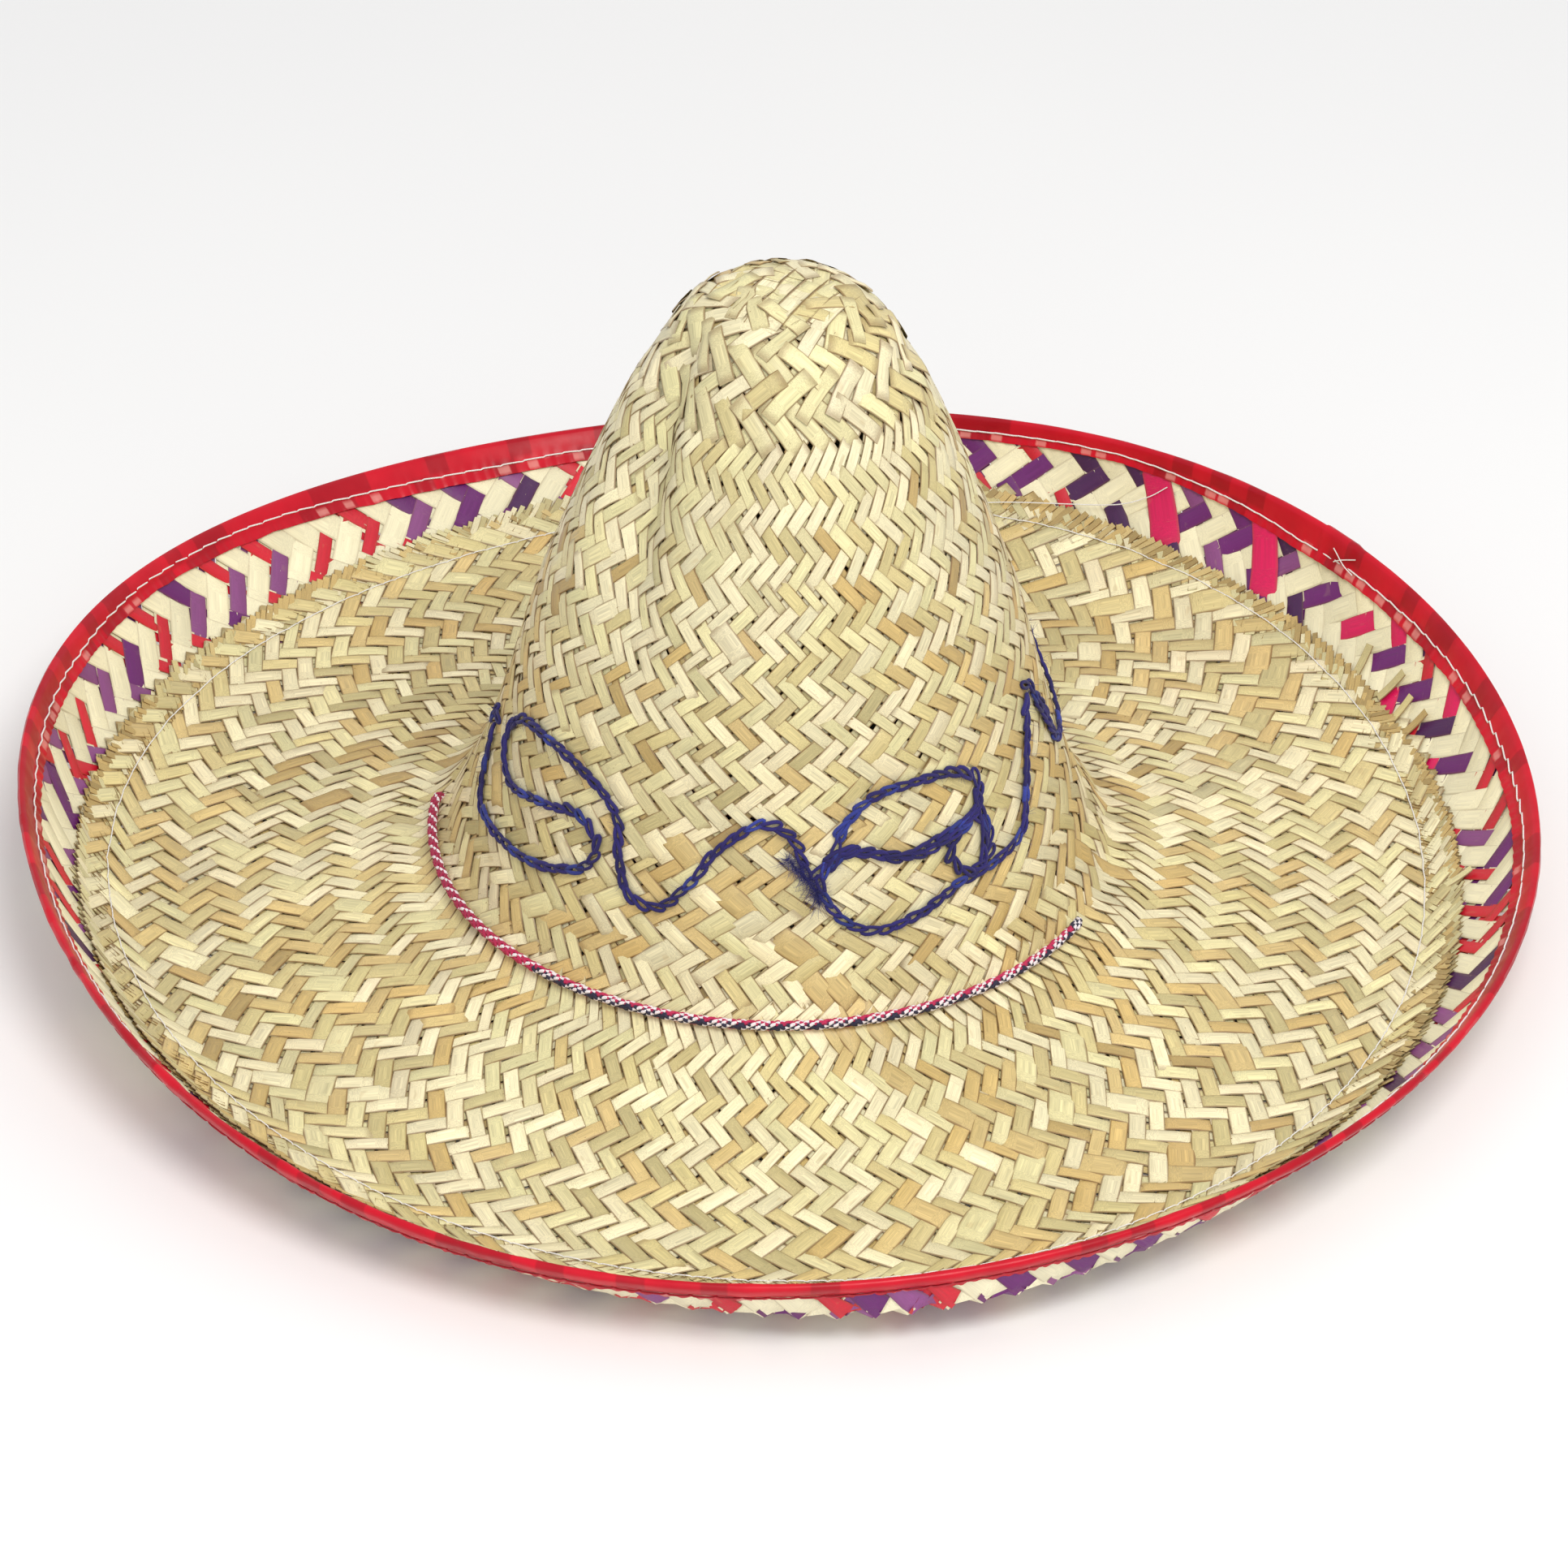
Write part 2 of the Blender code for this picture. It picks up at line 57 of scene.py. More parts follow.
# Radius and height, from the crown's top to the flat ring
CROWN_MERIDIAN = (
    (0.0, 0.2295), (0.017, 0.2284), (0.0275, 0.2243), (0.035, 0.2168), (0.0415, 0.2052),
    (0.0512, 0.1885), (0.0665, 0.152), (0.0808, 0.1134), (0.0918, 0.074), (0.1035, 0.0385),
    (0.116, 0.0165), (0.13, 0.0105), (0.15, 0.0066), (0.17, 0.0032),
    (FLAT_INNER, FLAT_HEIGHT),
)
# The crown's crease: angle, lean per metre of height, and spread
DENT_ANGLE, DENT_LEAN, DENT_SPREAD = (radians(d) for d in (-145, -200, 13))
DENT_DEPTH, DENT_HEIGHT, DENT_TALL = 0.011, 0.172, 0.046
# Means round the hat, with terms (harmonic, cosine, sine)
SEAM_RADIUS = (0.2310, ((1, 0.0017, -0.0003), (2, -0.0026, 0.0015), (3, -0.0036, 0.0013)))
SEAM_HEIGHT = (0.0055, ((1, 0.0, 0.0005), (2, 0.0002, 0.0005), (3, -0.0021, 0.0)))
RIM_RADIUS = (0.2600, ((1, 0.0013, -0.0003), (2, -0.0007, -0.0013), (3, 0.0012, 0.0007)))
RIM_HEIGHT = (0.0352, ((1, -0.0021, 0.0025), (2, 0.0065, 0.0028), (3, -0.0047, 0.0005)))
STRAW_EDGE_STATION = (0.576, ((1, -0.021, -0.010), (2, 0.009, -0.015), (3, 0.033, -0.044)))
SEAM_STATION = 0.380
STATION_LENGTH = 0.0685
BORDER_LIFT = -(STRAW_THICK / 2 + GAP + BORDER_THICK / 2)
LAP_ANGLE, LAP_LENGTH = radians(36), radians(3.5)
CORD_RING_RADIUS = 0.1160
CORD_RING_HEIGHT = 0.0165
CORD_DIAMETER = 0.0034
YARN_LIFT = 0.0018


def wave(angle, shape):
    mean, terms = shape
    return mean + sum(c * np.cos(n * angle) + s * np.sin(n * angle) for n, c, s in terms)


def catmull_rom(points, steps):
    """A Catmull-Rom curve through the points."""
    points = np.asarray(points, float)
    ends = np.vstack([2 * points[0] - points[1], points, 2 * points[-1] - points[-2]])
    t = np.arange(steps)[:, None] / steps
    curve = []
    for a, b, c, d in zip(ends, ends[1:], ends[2:], ends[3:]):
        square, cube = 2 * a - 5 * b + 4 * c - d, 3 * b - a - 3 * c + d
        curve.append((2 * b + (c - a) * t + square * t**2 + cube * t**3) / 2)
    return np.vstack(curve + [points[-1:]])


def lengths_along(points):
    steps = np.linalg.norm(np.diff(points, axis=0), axis=1)
    return np.concatenate([[0], np.cumsum(steps)])


def evenly(points, spacing):
    """The polyline's points at an even spacing."""
    along = lengths_along(points)
    count = max(2, round(along[-1] / spacing))
    wanted = np.linspace(0, along[-1], count + 1)
    return np.stack([np.interp(wanted, along, points[:, k]) for k in range(3)], -1)


PROFILE = catmull_rom(CROWN_MERIDIAN, 24)
PROFILE[:, 1] = np.maximum(PROFILE[:, 1], FLAT_HEIGHT)
PROFILE = np.vstack([PROFILE, [[FLAT_OUTER, FLAT_HEIGHT]]])
PROFILE_LENGTH = lengths_along(PROFILE)
PROFILE_SLOPE = np.gradient(PROFILE, PROFILE_LENGTH, axis=0)
PROFILE_SLOPE[-1] = (1, 0)
FLAT_END = PROFILE_LENGTH[-1]


def brim_meridian(angle, station):
    """Radius and height of the turned-up brim's middle surface."""
    seam_rise = wave(angle, SEAM_HEIGHT) - FLAT_HEIGHT
    rim_rise = wave(angle, RIM_HEIGHT) - FLAT_HEIGHT
    s = SEAM_STATION
    reach = wave(angle, RIM_RADIUS) - FLAT_OUTER
    bend = (wave(angle, SEAM_RADIUS) - FLAT_OUTER - reach * s) / (s * s - s)
    square = (seam_rise - rim_rise * s**3) / (s * s - s**3)
    radius = FLAT_OUTER + (reach - bend) * station + bend * station**2
    return radius, FLAT_HEIGHT + square * station**2 + (rim_rise - square) * station**3


def hat_point(angle, length, lift):
    """Points lift above the straw's middle surface; length runs down from the crown's top."""
    angle, length, lift = np.broadcast_arrays(angle, length, lift)
    r, z, dr, dz = (
        np.interp(length, PROFILE_LENGTH, values) for values in (*PROFILE.T, *PROFILE_SLOPE.T)
    )
    turn = angle - DENT_ANGLE - DENT_LEAN * (z - DENT_HEIGHT)
    turn = (turn + pi) % tau - pi
    r = r - DENT_DEPTH * np.exp(-((turn / DENT_SPREAD) ** 2) - ((z - DENT_HEIGHT) / DENT_TALL) ** 2)
    station = (length - FLAT_END) / STATION_LENGTH
    brim_r, brim_z = brim_meridian(angle, station)
    next_r, next_z = brim_meridian(angle, station + 0.001)
    turned_up = station > 0
    r, z = np.where(turned_up, brim_r, r), np.where(turned_up, brim_z, z)
    dr, dz = np.where(turned_up, next_r - brim_r, dr), np.where(turned_up, next_z - brim_z, dz)
    size = np.hypot(dr, dz)
    r = r - lift * dz / size
    z = z + lift * dr / size
    return np.stack([r * np.cos(angle), r * np.sin(angle), z], -1) + AXIS


def mean_radius(length):
    station = np.maximum(length - FLAT_END, 0) / STATION_LENGTH
    brim_r = brim_meridian(np.full_like(station, 0.5), station)[0]
    return np.where(station > 0, brim_r, np.interp(length, PROFILE_LENGTH, PROFILE[:, 0]))


def at_station(station):
    """Length along the meridian at a station of the turned-up brim, 0 to 1."""
    return FLAT_END + station * STATION_LENGTH


def length_at_height(height):
    """Length at a height of the crown's wall."""
    wall = PROFILE[:, 1] > FLAT_HEIGHT * 1.01
    return np.interp(-np.asarray(height, float), -PROFILE[wall, 1], PROFILE_LENGTH[wall])


# ---- Materials ----


def linear(hex_colour):
    """A six-figure sRGB colour, made linear."""
    parts = [int(hex_colour[i : i + 2], 16) / 255 for i in (0, 2, 4)]
    return np.array([c / 12.92 if c < 0.04045 else ((c + 0.055) / 1.055) ** 2.4 for c in parts])


def colours(listed):
    return np.array([linear(c) for c in listed.split()])


def put(name, data):
    made = bpy.data.objects.new(name, data)
    bpy.context.scene.collection.objects.link(made)
    return made


class Nodes:
    """A material's node tree."""

    def __init__(self, name, roughness, **constants):
        self.material = bpy.data.materials.new(name)
        self.material.use_nodes = True
        self.tree = self.material.node_tree
        self.shader = self.tree.nodes["Principled BSDF"]
        self.shader.inputs["Roughness"].default_value = roughness
        for socket, value in constants.items():
            self.shader.inputs[socket.replace("_", " ")].default_value = value

    def add(self, kind, inputs=(), **settings):
        node = self.tree.nodes.new(kind)
        for key, value in settings.items():
            setattr(node, key, value)
        for key, value in dict(inputs).items():
            if isinstance(value, bpy.types.NodeSocket):
                self.tree.links.new(value, node.inputs[key])
            else:
                node.inputs[key].default_value = value
        return node

    def math(self, operation, a, b=0.0, c=0.0):
        return self.add("ShaderNodeMath", {0: a, 1: b, 2: c}, operation=operation).outputs[0]

    def attribute(self, name):
        return self.add("ShaderNodeAttribute", attribute_name=name)

    def mix(self, factor, a, b, blend="MIX"):
        inputs = {0: factor, 6: a, 7: b}
        return self.add("ShaderNodeMix", inputs, data_type="RGBA", blend_type=blend).outputs[2]

    def shaded(self, colour, light):
        grey = self.add("ShaderNodeCombineXYZ", {0: light, 1: light, 2: light}).outputs[0]
        return self.mix(1.0, colour, grey, "MULTIPLY")

    def ramp(self, value, low, high, to_low=0.0, to_high=1.0):
        inputs = {0: value, 1: low, 2: high, 3: to_low, 4: to_high}
        return self.add("ShaderNodeMapRange", inputs).outputs[0]

    def spread(self, noise, to_low=0.0, to_high=1.0):
        """A noise's usual range, stretched to the given one."""
        return self.ramp(noise, 0.3, 0.7, to_low, to_high)

    def noise(self, vector, scale, detail=2.0, roughness=0.5):
        inputs = {"Scale": scale, "Detail": detail, "Roughness": roughness, "Vector": vector}
        return self.add("ShaderNodeTexNoise", inputs).outputs[0]

    def scaled(self, vector, scales):
        inputs = {0: vector, 1: scales}
        return self.add("ShaderNodeVectorMath", inputs, operation="MULTIPLY").outputs[0]

    def place(self):
        return self.add("ShaderNodeTexCoord").outputs["Object"]

    def bump(self, height, distance, strength=1.0):
        inputs = {"Height": height, "Distance": distance, "Strength": strength}
        made = self.add("ShaderNodeBump", inputs).outputs[0]
        self.tree.links.new(made, self.shader.inputs["Normal"])

    def colour(self, value):
        self.tree.links.new(value, self.shader.inputs["Base Color"])

    def roughness(self, value):
        self.tree.links.new(value, self.shader.inputs["Roughness"])


# The first brown is painted shade at the strips' edges and diving ends; the second is stain
PAINTED_SHADE_BROWN = (0.19, 0.09, 0.025, 1)
STAIN_BROWN = (0.50, 0.36, 0.16, 1)
# Noise scales along a strip, across it, and from strip to strip
GRAIN_SCALES, STREAK_SCALES, STAIN_SCALES = (90, 26, 40), (25, 7, 40), (160, 2.2, 40)
# Where the painted shade's brown starts and is full, across a strip and along it
EDGE_SHADE_RAMP, END_SHADE_RAMP = (0.40, 0.47), (0.68, 0.92)
PALM_BUMP = 0.00012


def palm_material(name, roughness, stain_and_shade_share, grain_share):
    """Palm strip: its tint, with grain, and painted shade in brown at its edges and where it dives
    under.
    """
    n = Nodes(name, roughness, IOR=1.5)
    strip = n.attribute("strip").outputs["Vector"]
    tint = n.attribute("tint").outputs["Color"]
    parts = n.add("ShaderNodeSeparateXYZ", {0: strip})
    fine = n.noise(n.scaled(strip, GRAIN_SCALES), 1.0, 3.0, 0.65)
    streak = n.noise(n.scaled(strip, STREAK_SCALES), 1.0, 2.0, 0.5)
    blotch = n.noise(n.place(), 26, 3.0)
    stain = n.ramp(n.noise(n.scaled(strip, STAIN_SCALES), 1.0, 1.0), 0.66, 0.74)
    # Painted shade: brown along the strip's edges and towards its ends, where it dives under its
    # neighbours
    edge = n.ramp(n.math("ABSOLUTE", parts.outputs[1]), *EDGE_SHADE_RAMP)
    end = n.ramp(n.math("FRACT", parts.outputs[2]), *END_SHADE_RAMP)
    grain = n.ramp(fine, 0.3, 0.72, 1 - grain_share, 1 + grain_share * 0.6)
    streaks = n.spread(streak, 1 - grain_share * 0.8, 1 + grain_share * 0.5)
    blotches = n.spread(blotch, 0.93, 1.05)
    light = n.math("MULTIPLY", n.math("MULTIPLY", grain, streaks), blotches)
    shaded = n.shaded(tint, light)
    shaded = n.mix(n.math("MULTIPLY", stain, stain_and_shade_share * 0.35), shaded, STAIN_BROWN)
    edge, end = n.math("MULTIPLY", edge, stain_and_shade_share), n.math("MULTIPLY", end, stain_and_shade_share * 0.6)
    n.colour(n.mix(n.math("MAXIMUM", edge, end), shaded, PAINTED_SHADE_BROWN))
    n.roughness(n.spread(streak, roughness - 0.08, roughness + 0.12))
    n.bump(n.math("ADD", fine, n.math("MULTIPLY", streak, 0.6)), PALM_BUMP, 0.6)
    return n.material


DEEP_RED, BRIGHT_RED = (0.50, 0.001, 0.014, 1), (0.64, 0.004, 0.020, 1)
# Pale pink of the painted highlights on the binding
VINYL_SHINE = (0.82, 0.36, 0.32, 1)


def vinyl_material():
    """Glossy red vinyl, darker where strips show through, with painted highlights in pale pink."""
    n = Nodes("glossy_red_vinyl", 0.3, IOR=1.33, Coat_Weight=0.04, Coat_Roughness=0.15)
    under = n.attribute("under")
    cloudy = n.noise(n.place(), 55, 3.0)
    red = n.mix(n.ramp(cloudy, 0.35, 0.7), DEEP_RED, BRIGHT_RED)
    shown = n.mix(1.0, red, under.outputs["Color"], "MULTIPLY")
    # The attribute's alpha mixes in painted highlights
    n.colour(n.mix(n.math("MULTIPLY", under.outputs["Alpha"], 0.55), shown, VINYL_SHINE))
    n.roughness(n.spread(n.noise(n.place(), 130, 2.0), 0.28, 0.46))
    n.bump(n.noise(n.place(), 420, 3.0), 0.00008, 0.35)
    return n.material


def fibre_material(name, roughness, fibre_scale, sheen):
    """The mesh's tint, with lighter and darker hairs."""
    n = Nodes(name, roughness, Sheen_Weight=sheen, Sheen_Roughness=0.5)
    tint = n.attribute("tint").outputs["Color"]
    hairs = n.noise(n.place(), fibre_scale, 3.0, 0.7)
    n.colour(n.shaded(tint, n.spread(hairs, 0.66, 1.28)))
    n.roughness(n.spread(hairs, roughness - 0.1, roughness + 0.1))
    n.bump(hairs, 0.0002, 0.7)
    return n.material


# ---- Meshes ----


def add_mesh(name, points, faces, finish, attributes, sharp=None):
    """A smooth piece that rides on the hat, with point attributes."""
    data = bpy.data.meshes.new(name)
    data.from_pydata(points.tolist(), [], faces.tolist())
    data.validate()
    for key, values in attributes.items():
        kind, field = ("VECTOR", "vector") if key == "strip" else ("COLOR", "color")
        made = data.attributes.new(key, "FLOAT_" + kind, "POINT")
        made.data.foreach_set(field, np.asarray(values, np.float32).ravel())
    data.shade_smooth()
    if sharp is not None:
        data.set_sharp_from_angle(angle=sharp)
    data.materials.append(finish)
    made = put(name, data)
    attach(made, "root")
    return made


def grid_faces(rows, columns, count, closed=False):
    """Quads of count grids of rows by columns points, one after another."""
    around = columns if closed else columns - 1
    i, j = np.meshgrid(np.arange(rows - 1) * columns, np.arange(around), indexing="ij")
    k = (j + 1) % columns
    quad = np.stack([i + j, i + k, i + columns + k, i + columns + j], -1).reshape(-1, 4)
    return (quad[None] + (np.arange(count) * rows * columns)[:, None, None]).reshape(-1, 4)


def rgba(tints, repeat):
    return np.repeat(np.hstack([tints, np.ones((len(tints), 1))]), repeat, axis=0)


def frames_along(points):
    """Two unit sides that don't twist, along a polyline."""
    tangents = np.gradient(points, axis=0)
    tangents /= np.linalg.norm(tangents, axis=1)[:, None]
    side = np.cross(tangents[0], (0, 0, 1.0))
    if np.linalg.norm(side) < 0.1:
        side = np.cross(tangents[0], (1.0, 0, 0))
    sides = []
    for tangent in tangents:
        side = side - tangent * (side @ tangent)
        side = side / np.linalg.norm(side)
        sides.append(side)
    sides = np.array(sides)
    return sides, np.cross(tangents, sides)


class Tubes:
    """Tubes gathered into one mesh."""

    def __init__(self):
        self.points, self.faces, self.tints, self.count = [], [], [], 0

    def add(self, line, radius, corners, tint, closed=False):
        """A tube round a polyline; its radius and tint may change along it."""
        wrapped = np.vstack([line[-1:], line, line[:1]]) if closed else line
        side, up = (f[1:-1] if closed else f for f in frames_along(wrapped))
        turn = (np.arange(corners) * tau / corners)[:, None]
        ring = side[:, None] * np.cos(turn) + up[:, None] * np.sin(turn)
        radius = np.broadcast_to(radius, len(line))[:, None, None]
        ring = (line[:, None] + ring * radius).reshape(-1, 3)
        self.points.append(ring)
        faces = grid_faces(len(line) + closed, corners, 1, True)
        self.faces.append(faces % len(ring) + self.count)
        self.tints.append(rgba(np.broadcast_to(tint, (len(line), 3)), corners))
        self.count += len(ring)

    def mesh(self, name, finish, slot):
        points, faces, tints = map(np.vstack, (self.points, self.faces, self.tints))
        return add_mesh(name, points, faces, finish, {"tint": tints})


# ---- The plait ----

# A float's rows, in half lengths: a flat middle, bent ends, and tips under its neighbours
FLAT_SHARE, BEND_SHARE, TIP = 0.45, 0.55, 1.42
ALONG = np.array([-TIP, -1.0, -FLAT_SHARE, FLAT_SHARE, 1.0, TIP])
STRAIGHT = np.linspace(-1, 1, len(ALONG))
# Its columns, in widths; the outermost are folded down
ACROSS = np.array([-0.5, -0.455, 0.0, 0.455, 0.5])
PALM_THICK, DYED_THICK = 0.00028, 0.00018
CURL, TILT = (-0.00006, 0.00014), 0.00009
SHARP = radians(48)


def slanted(sign, lean):
    """Vectors (round the hat, down it) that lean off the meridian."""
    return np.stack([sign * np.sin(lean), np.cos(lean)], -1)


def crosswise(sign, lean):
    return np.stack([np.cos(lean), -sign * np.sin(lean)], -1)


class Plait:
    """Floats of the plait, gathered into one mesh."""

    def __init__(self, seed):
        self.rng = np.random.default_rng(seed)
        self.points, self.strips, self.tints, self.count = [], [], [], 0

    def floats(
        self, angle, length, along, across, tint, rise, side=1.0, base=None, thick=PALM_THICK,
        a=ALONG, limits=(0.0, 1.0), pitch=0.0,
    ):
        """Ribbons centred at (angle, length); along and across are half-length and width vectors.

        rise holds the lifts of the middle, the end and the tip, and pitch is how far the outer
        end stands up. limits bound the length.
        """
        each = (len(angle), 1, 1)
        a, b = a[None, :, None], ACROSS[None, None, :]
        radius = np.maximum(mean_radius(length), 0.002)
        stretch = (np.maximum(length, 0.002) / radius)[:, None, None]
        u = (along[:, 0, None, None] * a + across[:, 0, None, None] * b) * stretch
        v = along[:, 1, None, None] * a + across[:, 1, None, None] * b + length[:, None, None]
        turned = np.arctan2(u, v) + angle[:, None, None]
        out = np.clip(np.hypot(u, v), *limits)
        middle, end, tip = (np.reshape(r, (-1, 1, 1)) for r in rise)
        reach = np.abs(a)
        bend = np.clip((reach - FLAT_SHARE) / BEND_SHARE, 0, 1) ** 1.5
        lift = np.where(reach > 1.001, tip, middle + (end - middle) * bend)
        curl = self.rng.uniform(*CURL, each)
        lift = lift + curl * (1 - (2 * b) ** 2) + np.reshape(pitch, (-1, 1, 1)) * a
        lift = lift + self.rng.uniform(-TILT, TILT, each) * b * 2
        lift = np.where(np.abs(b) > 0.49, lift - thick, lift) + 0 * a
        lift = side * lift if base is None else side * lift + base(turned, out)
        size = np.linalg.norm(along, axis=1)[:, None, None]
        seed = self.rng.uniform(0, 40, each)
        depth = seed.round() + np.minimum(reach / TIP, 0.99)
        strips = np.broadcast_arrays(a * size + seed * 0.31, b + 0 * a * size, depth)
        self.points.append(hat_point(turned, out, lift).reshape(-1, 3))
        self.strips.append(np.stack(strips, -1).reshape(-1, 3))
        self.tints.append(rgba(tint, a.size * b.size))
        self.count += len(angle)

    def mesh(self, name, finish, slot):
        faces = grid_faces(len(ALONG), len(ACROSS), self.count)
        points, strips, tints = map(np.vstack, (self.points, self.strips, self.tints))
        return add_mesh(name, points, faces, finish, {"strip": strips, "tint": tints}, SHARP)


PALM_TINTS = colours("F5EAC0 E9DFAA DDCD92 DFC586 D8BA78 CDBF8A BDA268")
# Odds of each tint, at the crown's top, at its foot and on the brim
CROWN_TOP_ODDS = np.array([0.38, 0.40, 0.13, 0.04, 0.02, 0.03, 0.0])
CROWN_FOOT_ODDS = np.array([0.26, 0.15, 0.16, 0.22, 0.12, 0.06, 0.03])
BRIM_ODDS = np.array([0.36, 0.23, 0.19, 0.10, 0.03, 0.085, 0.005])
CROWN_PAINTED_SHADE = 0.09  # painted shade: how much darker the crown's strips are made


def palm_tints(rng, count, odds):
    odds = np.asarray(odds) / np.sum(odds)
    picked = PALM_TINTS[rng.choice(len(PALM_TINTS), count, p=odds)]
    return picked * rng.uniform(0.90, 1.10, (count, 1)) * rng.uniform(0.988, 1.012, (count, 3))


# Strip counts round the hat, by the radius from which they hold
STRIP_COUNTS = (
    (0.0, 11), (0.0165, 13), (0.0225, 17), (0.0290, 22), (0.0360, 26), (0.0410, 31),
    (0.0490, 66), (0.1080, 96), (0.1150, 138),
)
# Radii, and the strips' widths there in millimetres
STRIP_WIDTHS = (
    (0.0, 0.048, 0.049, 0.055, 0.063, 0.075, 0.09, 0.105, 0.115, 0.13, 0.15, 0.17, 0.20, 0.235),
    (6.6, 6.9, 4.05, 4.5, 4.9, 5.1, 5.5, 6.0, 4.8, 5.1, 5.6, 6.1, 6.6, 7.0),
)
FIRST_RING, LAST_RING = 0.0165, at_station(0.66)
SLOPE_COSINES, RING_GROWTH = (0.60, 0.93), (0.8, 1.25)


def ring_spacing(length):
    """Radius, float count and spacing of the ring at a length."""
    radius = float(mean_radius(np.array([length]))[0])
    count = [n for r, n in STRIP_COUNTS if radius >= r][-1]
    return radius, count, tau * radius / count


def ring_rows():
    """Every ring of the straw: length, float count, spacing and slope."""
    rows = []
    length = FIRST_RING
    while length < LAST_RING:
        radius, count, spacing = ring_spacing(length)
        width = np.interp(radius, *STRIP_WIDTHS) / 1000
        slope = acos(np.clip(width / spacing, *SLOPE_COSINES))
        height = spacing / tan(slope)
        rows.append((length, count, spacing, slope))
        growth = ring_spacing(length + height)[2] / spacing
        length += height * (1 + np.clip(growth, *RING_GROWTH)) / 2
    return rows


def straw_edge(angle):
    return at_station(wave(angle, STRAW_EDGE_STATION))


# Usual, narrow and wide strips, as shares of their place in the weave
USUAL_SHARE, NARROW_SHARE, WIDE_SHARE = (0.88, 0.97), (0.70, 0.86), (1.25, 1.55)
NARROW_BELOW, WIDE_ABOVE = 0.13, 0.93
KEPT_ODDS = 0.72  # odds that a strip keeps its look from two rings up
GAP_WIDTH, GAP_LENGTH = 0.72, 0.84  # what is left of a float beside a gap
# Lift of a float's middle, visible end and tip
FLOAT_RISE = (0.00052, 0.00026, -0.00026)
TOP_LIFT, WALL_LIFT = 0.0019, 0.0007  # the most that a loose end stands up


def lay_ring(plait, row, index, odds, side, strips, gap_odds, loose, shade=1.0):
    """A ring of floats; its strips look as they did two rings up."""
    length, count, spacing, slope = row
    rng = plait.rng
    sign = side * (-1) ** index
    phase = (0.25, 0.75)[index % 2]
    step = tau / count
    angle = (np.arange(count) + phase + rng.uniform(-0.05, 0.05, count)) * step
    lengths = np.full(count, length) + rng.uniform(-0.00025, 0.00025, count)
    # shade darkens the crown's strips as painted shade
    tint = palm_tints(rng, count, odds) * shade
    kind = rng.random(count)
    wide = rng.uniform(*USUAL_SHARE, count)
    wide = np.where(kind < NARROW_BELOW, rng.uniform(*NARROW_SHARE, count), wide)
    wide = np.where(kind > WIDE_ABOVE, rng.uniform(*WIDE_SHARE, count), wide)
    if index - 2 in strips:
        before, before_wide, before_count = strips[index - 2]
        source = angle - sign * 2 * step
        same = np.round(source / tau * before_count).astype(int) % before_count
        keep = rng.random(count) < KEPT_ODDS
        tint[keep] = before[same[keep]] * rng.uniform(0.95, 1.05, (int(keep.sum()), 1))
        wide[keep] = before_wide[same[keep]]
    strips[index] = (tint, wide, count)
    pitch = spacing / (2 * sin(slope))
    lean = slope + rng.normal(0, 0.03, count)
    gap = rng.random(count) < gap_odds
    wide = np.where(gap, wide * GAP_WIDTH, wide)
    reach = np.where(gap, GAP_LENGTH, 1.0) * pitch
    along = slanted(sign, lean) * reach[:, None]
    across = slanted(sign, lean) * (1, -1) * (pitch * wide)[:, None]
    shift = rng.uniform(-0.00007, 0.00009, count) + np.clip(wide - 1.1, 0, 1) * 0.0003
    highest = TOP_LIFT if loose > 0.5 else WALL_LIFT
    lifted = np.where(rng.random(count) < loose, rng.uniform(0.0002, highest, count), 0.0)
    shown = lengths + along[:, 1] < straw_edge(angle) - 0.0005
    angle, lengths, along, across, tint, shift, lifted = (
        x[shown] for x in (angle, lengths, along, across, tint, shift, lifted)
    )
    middle, end, tip = FLOAT_RISE
    rise = (middle + shift, end + shift + lifted * 0.6, tip + lifted)
    plait.floats(angle, lengths, along, across, tint, rise, side)


MAT_REACH, MAT_STRIP = 0.0225, 0.0062
MAT_TURNS = (radians(-28), radians(52))


def top_mat(plait, side):
    """The plait's start, over the crown's top: strips go over one and under the next."""
    rng = plait.rng
    steps = np.arange(-3, 4)
    for layer, turn in enumerate(MAT_TURNS):
        angle = np.where(steps < 0, turn + pi, turn) + rng.normal(0, 0.02, len(steps))
        length = np.abs(steps) * MAT_STRIP + 0.0001
        half = np.sqrt(MAT_REACH**2 - length**2)
        along = np.stack([half, rng.normal(0, 0.0004, len(steps))], -1)
        across = np.stack([0 * half, 0 * half + MAT_STRIP * 0.97], -1)
        lift = -0.00045 + 0.0004 * layer
        tint = palm_tints(rng, len(steps), CROWN_TOP_ODDS)
        plait.floats(angle, length, along, across, tint, (lift,) * 3, side, a=STRAIGHT)
    i, j = (g.ravel() for g in np.meshgrid(steps, steps))
    over = ((i + j) % 2 == 0) & (i * i + j * j < 10)
    i, j = i[over], j[over]
    # Crossings, from the strips' distances to the middle
    first, second = MAT_TURNS
    spread = sin(second - first)
    cross_x = (i * sin(second) - j * sin(first)) * MAT_STRIP / spread
    cross_y = (j * cos(first) - i * cos(second)) * MAT_STRIP / spread
    angle, length = np.arctan2(cross_y, cross_x), np.hypot(cross_x, cross_y) + 0.0001
    lean = first + pi / 2 - angle
    along = slanted(1, lean) * MAT_STRIP * 0.56
    across = crosswise(1, lean) * MAT_STRIP * 0.95
    lifted = rng.uniform(0, 0.0004, len(i))
    rise = (0.0004 + 0 * lifted, 0.0002 + lifted, -0.0006 + lifted)
    tint = palm_tints(rng, len(i), CROWN_TOP_ODDS)
    plait.floats(angle, length, along, across, tint, rise, side)


EDGE_TINTS = np.array([1, 0, 5, 1, 2, 3, 6, 4])  # palm tints, in a bunch's order
EDGE_RADIUS = 0.245


